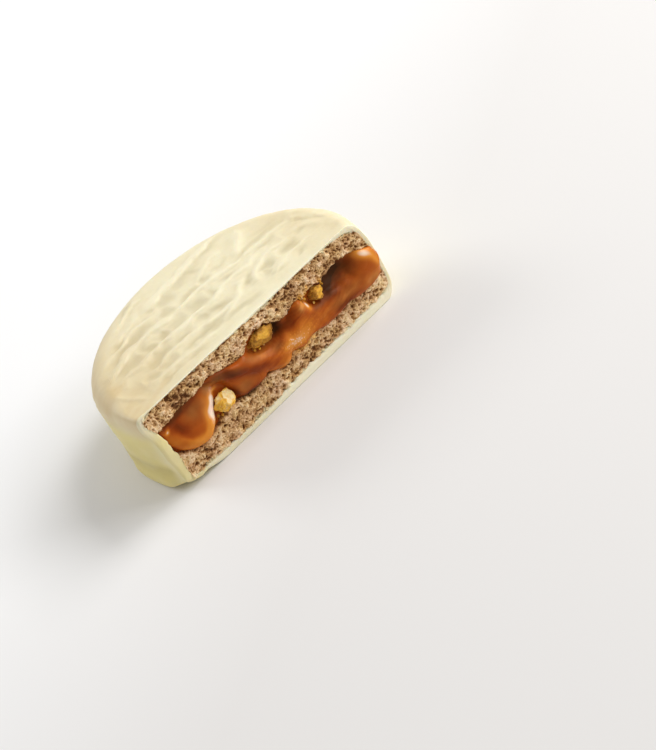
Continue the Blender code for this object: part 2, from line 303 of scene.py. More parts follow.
# Thin places between the ridges: x, y, half width, half depth, turn, share of the full dip.
DIMPLES = (
    (-18, 12, 6.4, 1.2, 8, 1), (-19.2, 15.2, 1.8, 0.8, 12, 0.9), (-23.2, 6.6, 3.8, 1.7, 0, 0.85),
    (-17, 6.6, 1.3, 1.8, 0, 0.8), (-12.6, 6.8, 1.4, 1.7, -10, 0.8), (-8.6, 6.6, 2.6, 1.7, 0, 0.6),
    (-3, 6.6, 2.7, 1.5, -6, 0.75), (1.6, 6.1, 1.2, 1.5, 0, 0.6), (6.8, 6.4, 1.9, 1.1, -15, 0.75),
    (17.6, 5.6, 2.1, 0.7, 0, 0.6), (-17.4, 1.3, 3.3, 1.3, 0, 1), (-11.2, 1.3, 2.7, 1.2, 0, 0.8),
    (-5.2, 1.2, 1.4, 1, 0, 0.8), (-1.4, 0.3, 2.8, 1.3, -14, 0.9), (7, 0.1, 1.7, 1.2, 38, 0.9),
    (13, -0.5, 1.9, 1.2, 25, 0.8), (10.6, -2.8, 1.1, 1, 0, 0.6), (18.8, -0.8, 2, 1, 20, 0.8),
    (24.4, 0.6, 1.6, 0.7, 0, 0.5), (-21.8, -2, 1.6, 1.2, 0, 0.9), (-18, -2.6, 1.9, 1, 0, 0.7),
    (-7.4, -3.6, 5, 1, 3, 0.9), (0.8, -5.6, 3.9, 0.9, -12, 0.7), (12.6, -4.7, 1.5, 0.7, 0, 0.6),
    (19, -5.6, 1.3, 1, 45, 0.6), (-19.6, -6.6, 3.2, 0.6, 0, 0.7), (-13, -6.8, 2.4, 0.6, 0, 0.6),
    (-9.8, 23.1, 2.9, 1.3, 8, 0.8), (-8.4, 18, 0.9, 0.9, 0, 0.6), (-4.4, 16.9, 1.9, 1.9, 0, 0.6),
    (2, 18.6, 6, 1.1, 6, 0.5), (4.6, 18.4, 1.1, 1.9, 8, 0.6), (11, 20, 4, 0.9, 3, 0.5),
    (-10.4, 15.8, 0.9, 0.8, 0, 0.4), (-6.9, 12.8, 1.5, 1.4, 0, 0.5), (-1.4, 11.8, 2.5, 0.9, 0, 0.6),
    (4.1, 12.8, 1.2, 1.2, 0, 0.7), (8.6, 12, 2, 0.9, 0, 0.4), (18, 9.6, 7.6, 1, 3, 0.6),
    (23, 11, 3, 1, -20, 0.4), (27.2, 5.4, 0.9, 2, -25, 0.3), (27.6, -0.4, 0.9, 2, 8, 0.3),
    (27.6, -6.4, 1.6, 1.3, 0, 0.3), (-27, -3.4, 3, 2.4, -40, 0.6), (-28.4, 7.4, 2.6, 1.2, 55, 0.7),
)
# The level the ridges may reach, and the coating's own level between them where it isn't thin.
RIDGE_MOST = 0.54
DIP = 0.20
# The coating's level along the cut, before the ridges begin.
EDGE_LEVEL = 0.40
# How much further out than an oval the coating stands at the cut: (height, millimetres) at each end.
LEFT_LEAN = (
    (0, -0.7), (1.5, -0.8), (3, -0.6), (6, -0.3), (9, 0.2), (12, 0.2), (15, 0.5), (18, 1.35), (21, 1.65),
)
RIGHT_LEAN = ((0, -0.3), (3, 0), (6, 0.25), (10, 0.3), (14, -0.1), (17, -0.45), (21, -0.3))
# The lower edge of the coating along the cut, lifted at the left: (x, height).
BASE_EDGE = (
    (-33, 1.4), (-30, 1.1), (-27.6, 0.9), (-26.4, 1.3), (-25, 0.9), (-22.5, 0.3), (-20, 0.05), (33, 0),
)
# Radius of the coating's edge at the cut, in general and at the left end.
ROUNDING = 0.22
LEFT_ROUNDING = 0.75
# Shoulder's inset and drop, foot's inset and lift: in general, and what the left and the right end add.
PROFILE = ((5.0, -3.0, -1.0), (5.2, -2.4, 1.8), (1.8, 0.4, 1.0), (2.0, 0.4, 2.2))
# Shares of the side's rows at which the shoulder ends and the foot begins.
SHOULDER_END = 0.3
FOOT_START = 0.75
# Length of the side from one end of the cut round to the other, for the noise that runs along it.
SIDE_LENGTH = 130.0
# Grid of the outside: columns, and rows down the side, over the top and under the base.
SKIN_GRID = (300, 60, 200, 8)


def bowed_line(start, middle, end, steps=90):
    """A parabola through three points: (1-t)^2 start + 2t(1-t) pull + t^2 end."""
    share = np.linspace(0, 1, steps)[:, None]
    pull = 2 * middle - (start + end) / 2
    return (1 - share) ** 2 * start + 2 * share * (1 - share) * pull + share**2 * end


def stroke(x, y, line, width, height):
    """A rounded ridge over a line: a bell in the distance to it, steeper in front and thinner at the ends."""
    reach = 4 * width
    near = (
        (x > line[:, 0].min() - reach) & (x < line[:, 0].max() + reach)
        & (y > line[:, 1].min() - reach) & (y < line[:, 1].max() + reach)
    )
    raised = np.zeros(x.shape)
    distance = np.hypot(x[near, None] - line[:, 0], y[near, None] - line[:, 1])
    nearest = distance.argmin(axis=1)
    distance = distance.min(axis=1)
    along = nearest / (len(line) - 1)
    taper = ease(along / 0.2) * rise(along, 1, -0.2)
    front = ease(0.5 + 0.5 * (line[nearest, 1] - y[near]) / np.maximum(distance, 1e-6))
    spread = width * blend(1.35, 0.75, front)
    raised[near] = height * blend(0.25, 1.0, taper) * hill(distance, spread)
    return raised


def top_relief(x, y):
    """Over a plan: the height, how thin the coating is, and how near a ridge's crest a point lies.

    Height = the skin less its soft dips + the highest ridge or link + ripples, all on a plan bent by noise.
    """
    plan = np.stack((x, y), -1)
    bent_x = x + 0.5 * soft_noise(plan, 4.0, 3) + 0.2 * soft_noise(plan, 1.6, 4)
    bent_y = y + 0.8 * soft_noise(plan, (5.0, 3.0), 5) + 0.3 * soft_noise(plan, 1.8, 6)
    raised = np.zeros(x.shape)
    for *ends, width, height in np.array(RIDGES, float):
        line = bowed_line(*np.reshape(ends, (3, 2)))
        raised = np.maximum(raised, stroke(bent_x, bent_y, line, 0.95 * width, height))
    for start, end in np.reshape(CROSS_LINKS, (-1, 2, 2)):
        line = bowed_line(start, (start + end) / 2, end)
        raised = np.maximum(raised, stroke(bent_x, bent_y, line, LINK_WIDTH, LINK_HEIGHT))
    loose_x = bent_x + 0.9 * soft_noise(plan, (2.6, 1.6), 9)
    loose_y = bent_y + 0.5 * soft_noise(plan, (2.2, 1.4), 10)
    thin_and_shaded = np.zeros(x.shape)
    for middle_x, middle_y, half_x, half_y, turn, share in DIMPLES:
        inside = oval_share(loose_x, loose_y, middle_x, middle_y, half_x * 1.25, half_y * 1.35, turn)
        thin_and_shaded = np.maximum(thin_and_shaded, share * rise(inside, 1.5, -1.4))
    crest_and_lit_edge = rise(raised, 0.04, 0.26)
    thin_and_shaded = thin_and_shaded * (1 - 0.7 * crest_and_lit_edge)
    ripples = 0.05 * rough_noise(plan, (6.0, 2.6), 8, 3)
    return DIP * (1 - thin_and_shaded) + 0.98 * raised + ripples, thin_and_shaded, crest_and_lit_edge


def profile_rows(share, shoulder, drop, foot, lift):
    """Inset and height down the side: a quarter ellipse over the shoulder, a wall, and one under the foot."""
    over = np.clip(share / SHOULDER_END, 0, 1) * math.pi / 2
    wall = np.clip((share - SHOULDER_END) / (FOOT_START - SHOULDER_END), 0, 1)
    under = np.clip((share - FOOT_START) / (1 - FOOT_START), 0, 1) * math.pi / 2
    inset = shoulder * (1 - np.sin(over)) + foot * (1 - np.cos(under))
    height = HEIGHT - drop * (1 - np.cos(over)) - (HEIGHT - drop - lift) * wall - lift * np.sin(under)
    return inset, height


def curtain(arc, height):
    """How far the side stands out in sagging drips: a swag down to a wandering height, and upright folds."""
    place = np.stack((arc, 0 * arc), -1)
    hem = 8.5 + 3.2 * soft_noise(place, (7.0, 9.0), 23) + 1.4 * soft_noise(place, (2.6, 9.0), 24)
    swag = ease((height - hem) / 3.4)
    folds = 1 - np.abs(soft_noise(np.stack((arc, height * 0.22), -1), 3.4, 25))
    slow = rough_noise(np.stack((arc, height * 0.35), -1), 6.5, 26, 2)
    return 0.20 * swag + 0.16 * folds**2 + 0.14 * slow


def coating_side(turn, share):
    """The side, from one end of the cut round to the other and from shoulder to foot.

    Ovals drawn in by the profile and out by the drips, ended just behind the cut, then pushed out by each
    end's lean and in by the left end's low lip. The length is held inside the cookie's.
    """
    left = hill(turn, 0.08)
    right = hill(1 - turn, 0.09)
    inset, height = profile_rows(share, *(all_over + a * left + b * right for all_over, a, b in PROFILE))
    arc = SIDE_LENGTH * turn + 0 * share
    side = np.sin(np.pi * np.clip(height / HEIGHT, 0, 1)) ** 0.7
    away = 1 - 0.75 * hill(turn, 0.10) - 0.6 * right
    inset = inset + side * (0.36 - curtain(arc, height) * away)
    inset = np.maximum(inset, 0)
    across = HALF_DEPTH - inset
    end_y = cut_plane(height) + blend(LEFT_ROUNDING, ROUNDING, turn)
    ahead_left = np.arcsin(np.clip((cut_plane(height) + LEFT_ROUNDING) / across, -1, 1))
    ahead_right = np.arcsin(np.clip((cut_plane(height) + ROUNDING) / across, -1, 1))
    angle = blend(np.pi - ahead_left, ahead_right, turn)
    x = (HALF_LENGTH - inset) * np.cos(angle)
    y = across * np.sin(angle)
    near = hill(y - end_y, 9.0)
    x = x + near * np.where(turn < 0.5, -through(LEFT_LEAN, height), through(RIGHT_LEAN, height))
    low_left = rise(y - end_y, 0.3, 3) * rise(y, 9, -8) * (turn < 0.5)
    lip = hill(height - 1.4, 1.2) - 0.5 * hill(height - 4.6, 1.7)
    x = x - 1.4 * lip * low_left
    over = np.maximum(np.abs(x) - (HALF_LENGTH - 1.0), 0)
    x = np.sign(x) * (np.minimum(np.abs(x), HALF_LENGTH - 1.0) + 0.98 * (1 - np.exp(-over)))
    return x, y, height


def fan(turn, edge_x, edge_y, edge_z, rows):
    """Rows that run straight from points spread along the cut out to the points of an oval."""
    share = np.linspace(0, 1, rows)
    part = (ease(share) * 0.5 + share * 0.5)[:, None]
    spread = blend(turn, (edge_x - edge_x[0]) / (edge_x[-1] - edge_x[0]), 0.5)
    start_x = blend(edge_x[0], edge_x[-1], spread)
    rounding = blend(ROUNDING, LEFT_ROUNDING, hill(spread, 0.025))
    start_y = cut_plane(blend(edge_z[0], edge_z[-1], spread)) + rounding
    return blend(start_x, edge_x, part), blend(start_y, edge_y, part), blend(edge_z, edge_z, part)


def coating_skin():
    """The coating's outside as one grid: from the cut's upper edge over top, side and base to its lower edge.

    The top is lowered to its relief and the base's front edge lifted to its line.
    """
    columns, side_rows, top_rows, base_rows = SKIN_GRID
    turn, share = share_grid(columns, side_rows)
    side = coating_side(turn, share)
    top = fan(turn[0], *(rows[0] for rows in side), top_rows)
    base = fan(turn[0], *(rows[-1] for rows in side), base_rows)
    x, y, z = (np.vstack((a[:-1], b, c[::-1][1:])) for a, b, c in zip(top, side, base))
    on_top = rise(z - HEIGHT, -4.5, 4)
    near_cut = rise(y - CUT_Y, 0.4, 2.6)
    relief, thin_and_shaded, crest_and_lit_edge = top_relief(x, y)
    level = np.clip(blend(EDGE_LEVEL, relief, near_cut), 0.0, RIDGE_MOST)
    z = z - on_top * (RIDGE_MOST - level)
    under = rise(z, 2.4, -2.4) * ease((CUT_Y + 5.0 - y) / 5.0)
    z = z + under * through(BASE_EDGE, x)
    warm = rise(x, -2, -30) * rise(z, 13, 6)
    warm = warm + (0.46 * rise(x, 14, 12) + 0.30 * rise(x, -25, -7)) * on_top
    slanted = np.stack((x + 0.7 * y, y - 0.4 * x), -1)
    warm = warm * (0.85 + 0.25 * rough_noise(slanted, (9.0, 2.4), 12, 2))
    looks = {"thin_and_shaded": thin_and_shaded * on_top * near_cut, "crest_and_lit_edge": crest_and_lit_edge * on_top * near_cut, "warm": warm}
    return np.stack((x, y, z), -1), looks


def stack_rim(rows):
    """The biscuit stack's outline at the cut, point for point beside the coating's own rim."""
    columns, side_rows, top_rows, base_rows = SKIN_GRID
    turn = np.linspace(0, 1, columns)
    top_x = blend(-31.3, 28.4, turn)
    base_x = blend(-29.2, 29.6, turn)
    top = np.stack((top_x, through(STACK_TOP, top_x)), -1)
    base = np.stack((base_x, through(STACK_BASE, base_x)), -1)
    share = np.linspace(0, 1, side_rows)
    grid = np.zeros((rows, columns, 2))
    for column, knots in ((-1, RIGHT_END), (0, LEFT_END)):
        first, last = top[column], base[column]
        z = blend(first[1], last[1], share)
        line = np.stack((through(knots, z), z), -1)
        line[0], line[-1] = first, last
        above, below = np.repeat(line[:1], top_rows - 1, 0), np.repeat(line[-1:], base_rows - 1, 0)
        grid[:, column] = np.vstack((above, line, below))
    grid[0] = top
    grid[-1] = base
    return grid.reshape(-1, 2)[rim_of(rows, columns)]


def cut_strips(rim, inner):
    """Closed loops over the coating's cut edge: a quarter round off the outside, then flat to the stack.

    The quarter round's radius is how far behind the cut the rim ends. The last loops wander by noise.
    """
    outer = rim[:, (0, 2)]
    towards = inner - outer
    width = np.linalg.norm(towards, axis=1, keepdims=True)
    towards = towards / np.maximum(width, 0.01)
    rounding = rim[:, 1] - cut_plane(outer[:, 1])
    strips = []
    for angle in np.radians((22, 45, 68, 90)):
        inward = np.minimum(rounding[:, None] * (1 - math.cos(angle)), width * 0.45)
        xz = outer + towards * inward
        y = cut_plane(xz[:, 1]) + rounding * (1 - math.sin(angle))
        strips.append(np.stack((xz[:, 0], y, xz[:, 1]), -1))
    shoulder = strips[-1][:, (0, 2)]
    for share, sunk in ((0.35, 0.0), (0.7, 0.02), (1.0, 0.06)):
        xz = blend(shoulder, inner, share)
        ragged = 0.08 + 0.26 * rough_noise(xz, 1.1, 42, 3)
        xz = xz + towards * np.clip(ragged, -0.1, 0.4)[:, None] * share**2
        y = cut_plane(xz[:, 1]) + sunk + 0.06 * share * rough_noise(xz, 1.6, 41, 3)
        strips.append(np.stack((xz[:, 0], y, xz[:, 1]), -1))
    return strips


def coating_looks(points, skin_looks, skin_count):
    """Colour shares at every point: olive side, thin places, painted shade low on the left wall and along the
    base band's left half, and pale edges along the cut that are painted light.
    """
    hidden = np.zeros(len(points) - skin_count)
    looks = {label: np.append(share, hidden) for label, share in skin_looks.items()}
    x, y, z = points.T
    mottle = rough_noise(points / (1.0, 1.0, 0.6), 4.5, 43, 3)
    side = np.clip(rise(z, 19.5, -6) * (0.90 + 0.20 * mottle), 0, 1)
    side = side * blend(1.0, 0.55, rise(x, -12, 20))
    side[skin_count:] *= blend(0.75, 0.3, rise(x[skin_count:], -30, 6))
    looks["side"] = side
    outside = np.arange(len(points)) < skin_count
    behind = y - cut_plane(z)
    # Painted shade on the left wall, deepest just above its foot and mottled; the cut band's left end a
    # little greyer.
    shade = 0.42 * hill(z - 4.4, 1.7) + 0.12 * ease(0.5 + 1.4 * mottle)
    shade = shade * rise(z, 14, -5) * rise(x, -24, -6) * ease(behind / 3.0) * outside
    end_band = 0.12 * rise(x, -26, -4) * ~outside
    base = rise(z, 2.6, -0.8) * rise(x, -27, 3) * ~outside
    # Painted shade along the base band's left half, uneven by noise.
    left_base_shade = base * rise(x, -6, -8) * ease(0.7 + 1.2 * mottle)
    looks["thin_and_shaded"] = np.clip(looks["thin_and_shaded"] + shade + end_band + 0.95 * left_base_shade, 0, 1)
    # Painted light: paler on the left wall beside the cut, a painted highlight along the cut's upper edge,
    # and the base band paler, partly its own paler cream, lighter to the right.
    near_edge = 1.05 * hill(behind, 2.0) * rise(x, -26, -3) * rise(z, 17, -4) * outside
    upper_edge = rise(z, 18.5, 1.5) * hill(behind, 1.3)
    upper_edge = upper_edge * blend(0.3, 1.0, rise(x, -30, 12)) * blend(1.0, 0.4, rise(x, 16, 8))
    looks["crest_and_lit_edge"] = looks["crest_and_lit_edge"] + near_edge + base * blend(1.2, 2.3, rise(x, -12, 20))
    looks["crest_and_lit_edge"] = looks["crest_and_lit_edge"] + upper_edge * np.where(outside, 0.8, 1.8)
    return looks


def make_coating(material):
    """The coating: its outside grid, loops over the cut edge, and its inside swept back to a line."""
    skin, skin_looks = coating_skin()
    rows, columns = skin.shape[:2]
    flat = skin.reshape(-1, 3)
    strips = cut_strips(flat[rim_of(rows, columns)], stack_rim(rows))
    inside = strips[-1].copy()
    inside[:, 1] += 0.5
    strips += swept_back(inside, COATING_STEPS, COATING_WALL)
    faces = closed_faces(rows, columns, len(strips))
    points = np.concatenate((flat, *strips))
    looks = coating_looks(points, skin_looks, len(flat))
    add_piece("coating_shell", points, faces, material, "coating", looks)


# ---- biscuits

# Open pits and cracks in the crumb: x, z, half width, half height, turn.
PITS = (
    (-21.4, 17.6, 1.3, 0.42, -28), (-23.2, 18.9, 0.8, 0.7, 0), (-16.6, 19, 0.5, 0.55, 0),
    (-12.6, 19.4, 0.5, 0.4, 0), (-30.1, 17.7, 0.4, 0.5, 0), (-24.8, 20.2, 0.6, 0.4, 0),
    (-17, 20.4, 1, 0.3, -15), (-7.6, 20.6, 0.7, 0.3, 0), (-9, 17.4, 0.4, 0.5, 0), (-5.2, 17.5, 0.5, 0.4, 0),
    (2.2, 18.2, 0.7, 0.4, 30), (4.2, 19.2, 0.9, 0.4, 0), (6, 20.4, 0.7, 0.35, 0), (3.6, 16.7, 0.5, 0.35, 0),
    (10.6, 20.5, 0.4, 0.3, 0), (14.7, 20, 1, 0.4, -25), (14.2, 16.7, 0.45, 0.5, 0), (18.9, 20.2, 1, 0.3, -15),
    (22.2, 17, 0.4, 0.8, 25), (26.8, 16.8, 0.5, 0.4, 0), (29, 18.5, 0.35, 0.3, 0), (29.2, 17, 0.4, 0.3, 0),
    (22.4, 20.2, 0.8, 0.3, 0), (9.6, 19.6, 0.6, 0.4, -30), (8.2, 4.2, 1, 0.55, -30),
    (9.4, 3.2, 0.9, 0.4, -45), (7.2, 2.8, 0.5, 0.4, 0), (-14.8, 4.8, 0.8, 0.3, -15),
    (-12.2, 4.4, 0.6, 0.25, 0), (-0.1, 6.1, 0.4, 0.3, 0), (12.8, 5.4, 0.35, 0.6, 15),
    (1.9, 2.8, 0.6, 0.35, -15), (3.6, 2.8, 0.6, 0.4, 0), (-24.6, 5, 1.6, 0.5, -40), (-21, 4.8, 1.4, 0.3, 15),
    (-28.9, 3.1, 0.4, 0.35, 0), (-7.4, 2.4, 0.35, 0.3, 0), (-3.9, 4.9, 0.3, 0.3, 0),
    (5.2, 3.8, 0.7, 0.3, -40), (16.4, 5.6, 0.8, 0.5, 40), (18.9, 6, 0.8, 0.3, 0), (20.6, 4.9, 0.5, 0.4, 0),
    (25, 3.7, 0.7, 0.4, 0), (15.6, 2.8, 0.7, 0.4, 0), (22, 5.6, 0.4, 0.9, 15), (19.2, 2.9, 0.4, 0.6, 0),
    (28.6, 3, 0.6, 0.4, 0), (-18.2, 6.6, 1.2, 0.3, -10),
)
# Paler and darker patches in the crumb: x, z, half width, half height, amount.
CRUMB_PATCHES = (
    (-22.8, 18.6, 3.3, 2.6, -0.19), (-25, 5.2, 1.6, 0.8, -0.1), (0, 19.2, 3, 1.2, 0.21),
    (8, 17.8, 3, 1.6, -0.15), (16, 18.3, 2.6, 1.6, 0.09), (24, 18, 3, 1.8, -0.19),
    (-27.4, 4.2, 2.2, 2.2, 0.15), (-21.8, 4.2, 2.6, 1.8, 0.02), (0, 4.2, 3.2, 1.6, 0.09),
    (-10, 18.5, 3.4, 1.8, 0.05), (-11.6, 4.6, 5.4, 2, -0.13), (-17, 18.6, 2, 1.6, 0.04),
    (29, 4.8, 1.6, 2.2, 0.1),
)
# Nut meal pressed into the crumb: x, z, half width, half height.
NUT_MEAL = (
    (11.4, 15.6, 1.6, 1.3), (16.9, 15.4, 0.9, 1), (6.6, 6.7, 3.2, 0.9), (9.6, 6.9, 1.6, 0.8),
    (-17.6, 8, 1.2, 0.6), (-3.8, 17.2, 0.8, 0.6), (13.4, 16.6, 1, 0.6),
)
CRUMB_GRID = (680, 60)
# What the points behind a cut face are given for a colour share that can't be seen there.
HIDDEN_LOOK = 0.4


def crumb_relief(x, z, seed):
    """Open crumb in the cut: pits of many sizes, walls and clumps that stand out between them, and grit.

    Relief = clumps + walls + broad patches + grit + granules - pits, where a pit is a pebble's middle, eased.
    The lightness is the same sum with other weights, and the pale and dark patches: the darker pits are
    painted shade, and the paler clumps, walls and granules partly painted light, partly the crumb's own
    grain.
    """
    face = np.stack((x, z), -1)
    bent = face + 0.30 * np.stack((soft_noise(face, 0.9, seed), soft_noise(face, 0.9, seed + 1)), -1)
    hole, wall, number = pebbles(bent, (0.95, 0.80), seed + 2)
    small, small_wall, small_number = pebbles(bent, (0.50, 0.42), seed + 3)
    patch = rough_noise(face, 3.4, seed + 5, 3)
    clump = rough_noise(bent, (1.3, 1.1), seed + 6, 3)
    depth = 0.35 + 0.60 * ((7.3 * number) % 1)
    pit = depth * ease((0.20 + 0.34 * number - 0.14 * clump - hole) / 0.30) * rise(number, 0.22, 0.2)
    fine = ease((0.16 + 0.26 * small_number - 0.10 * clump - small) / 0.22)
    fine = fine * rise(small_number, 0.35, 0.2)
    granule = rise(small, 0.42, -0.24) * rise(small_number, 0.3, -0.1)
    pit = np.maximum(pit, 0.55 * fine)
    for place in PITS:
        pit = np.maximum(pit, 0.95 * ease((1.25 - oval_share(bent[..., 0], bent[..., 1], *place)) / 0.8))
    ridge = ease((0.30 - (wall - hole)) / 0.30) + 0.5 * ease((0.25 - (small_wall - small)) / 0.25)
    grit = soft_noise(face, (0.26, 0.20), seed + 8)
    relief = 0.16 * clump + 0.10 * ridge + 0.14 * patch + 0.05 * grit + 0.06 * granule - 0.44 * pit
    light = 0.56 + 0.20 * clump + 0.12 * ridge + 0.12 * grit + 0.07 * patch + 0.12 * granule - 0.50 * pit
    light = light + 0.08 * (small_number - 0.5) + 0.05 * soft_noise(face, 0.14, seed + 9)
    for *place, amount in CRUMB_PATCHES:
        light = light + amount * bell(x, z, place)
    # Painted shade along the upper biscuit's top under the coating; a little paler towards the lower right.
    light = light - 0.08 * rise(z, 19.6, 1) + 0.06 * rise(x, 10, 10) * rise(z, 9, -1)
    return relief, np.clip(light, 0, 1)


def make_biscuit(name, node, material, seed, low_knots, high_knots, caramel_below):
    """A biscuit: crumb over a grid in the cut between two edges, and its rim swept back to a line.

    The face's depth is the crumb's relief with a groove along the caramel, a lip along the coating that
    flattens the relief, and raised ends. Its outer rows wander up and down by noise.
    """
    columns, rows = CRUMB_GRID
    across, up = share_grid(columns, rows)
    x = blend(-31.6, 30.6, across) + 0 * up
    for _ in range(2):
        z = blend(through(low_knots, x), through(high_knots, x), up)
        x = blend(through(LEFT_END, z) - 0.1, through(RIGHT_END, z) + 0.1, across)
    relief, light = crumb_relief(x, z, seed)
    tall = through(high_knots, x) - through(low_knots, x)
    off_caramel = (up if caramel_below else 1 - up) * tall
    off_coating = (1 - up if caramel_below else up) * tall
    face = np.stack((x, z), -1)
    near_rim = 1 - ease(np.minimum(up, 1 - up) * tall / 0.5)
    ragged = 0.16 * rough_noise(face, 0.9, seed + 9, 2) * near_rim
    near_caramel = 1 - ease(off_caramel / 0.5)
    lip = 0.12 * (1 - ease(off_coating / 0.4))
    ends = 0.12 * (1 - ease(np.minimum(x - x[:, :1], x[:, -1:] - x) / 0.4))
    y = cut_plane(z) + 0.16 - relief + 0.30 * near_caramel - lip * relief - ends
    points = np.stack((x, y, z + ragged), -1).reshape(-1, 3)
    loops = swept_back(points[rim_of(rows, columns)], STACK_STEPS, STACK_WALL)
    meal = np.zeros(x.shape)
    for place in NUT_MEAL:
        meal = np.maximum(meal, bell(x, z, place, 3))
    meal = meal * ease(0.75 + 0.9 * soft_noise(face, 0.7, seed + 10))
    # Darker along the caramel: partly oily crumb, partly painted shade where the crumb meets the caramel.
    light = np.clip(light - 0.24 * near_caramel, 0, 1)
    smear = ease((0.30 - off_coating + 0.60 * rough_noise(face, 1.2, seed + 11, 3)) / 0.30)
    back = np.zeros(sum(len(loop) for loop in loops))
    light = np.append(light, back + HIDDEN_LOOK)
    looks = {"crumb": light, "meal": np.append(meal, back), "smear": np.append(smear, back)}
    faces = closed_faces(rows, columns, len(loops))
    add_piece(name, np.concatenate((points, *loops)), faces, material, node, looks)


# ---- caramel

# Cushions of caramel seen at the cut: rim width, reach, how much it sags, and the outline as (x, z).
CUSHIONS = (
    (3, 0.62, 0.33, (
        (-31, 18.4), (-30.6, 15.5), (-30.3, 13.4), (-29.8, 11), (-28.9, 9), (-27.2, 7.3), (-25, 6.3),
        (-22.6, 5.9), (-20.6, 6.4), (-19.1, 7.6), (-17.9, 9.4), (-16.8, 11.2), (-16, 12.8), (-15.5, 14.4),
        (-15.8, 16), (-16.6, 18.8),
    )),
    (1.6, 0.4, 0, (
        (-18, 18), (-17, 15.8), (-15.4, 14.6), (-13.8, 14.2), (-12.6, 12.4), (-12.1, 10.6), (-12.4, 8.8),
        (-11, 7.2), (-8.6, 6.5), (-5.8, 6.8), (-4, 6.8), (-2.6, 9.4), (-5.6, 12.4), (-7.4, 14.8), (-8, 18),
    )),
    (2.8, 1.15, 0, (
        (-10.6, 17.8), (-8, 17), (-5.6, 15.3), (-3.6, 13.5), (-1.4, 12.6), (1.4, 12.4), (4.4, 12.6),
        (5.6, 10), (4.2, 8), (3, 6.4), (1.4, 5.4), (-0.6, 5.6), (-2.4, 6.8), (-4.6, 8.2), (-6.6, 9.6),
        (-8.8, 11.2), (-11, 13), (-12.6, 15), (-12.8, 17.8),
    )),
    (2.2, 0.9, 0, (
        (0.6, 12.4), (3, 12.7), (4.8, 12.8), (6.2, 13.6), (7.6, 15), (8.4, 16.8), (11, 16.8), (11.4, 14.6),
        (12.5, 13), (14.6, 12.3), (18, 12), (22, 11.4), (24, 11.8), (27, 12), (31.4, 11), (31.4, 8.6),
        (31, 6.2), (28.2, 5), (24, 5.2), (20, 5.9), (16, 5.5), (13, 5.6), (10.6, 6.1), (8.4, 6.4), (6.6, 5.6),
        (5, 6.4), (3.6, 6.8), (2.2, 8.6),
    )),
    (5.2, 1.55, 0.05, (
        (23, 10.8), (24, 13.2), (26.2, 15.4), (28.8, 16.1), (31.4, 15.4), (32.9, 13.2), (33.2, 10.8),
        (32.6, 8.4), (30.6, 6.8), (27.6, 6.3), (24.8, 6.8), (23.2, 8.6),
    )),
)
# How far behind the cut the caramel lies between its cushions, and the furthest it may stand out.
BACK = 1.7
FRONT_MOST = 1.58
# Deep shadows and creases: x, z, half width, half height, turn, depth.
HOLLOWS = (
    (21.4, 14.4, 4.2, 2, 0, 1.3), (3.2, 14.6, 1.5, 2, -30, 1.4), (-1, 13.2, 3, 0.45, -4, 0.6),
    (-9, 6.7, 2.8, 0.5, -3, 0.4), (-28.9, 15.9, 2.2, 0.5, 4, 0.8), (-12.2, 13.2, 3.2, 0.7, -35, 0.3),
    (17.8, 10.4, 4, 0.6, -6, 0.18), (12, 8.4, 3, 0.5, 10, 0.14),
)
# Low swells along the caramel: x, z, half width, half height, turn, height.
SWELLS = (
    (-5.6, 13.2, 2.9, 1.2, -40, 0.12), (1.2, 7.8, 1.9, 1.1, -20, 0.22), (-1.4, 10.4, 2.6, 0.8, -30, 0.16),
    (9.6, 14.4, 1.3, 1.2, 0, 0.2), (6, 11.2, 2.4, 0.7, 14, 0.2), (12.6, 10.2, 3.4, 1.2, -8, 0.1),
    (22.6, 8.2, 3.8, 1, 0, 0.22),
)
# Grained sugar, one strong patch and a faint one: x, z, half width, half height, turn, share.
SUGAR = ((5.2, 9.6, 3.9, 1.9, -8, 1.0), (11.0, 9.8, 3.6, 1.8, 0, 0.35))
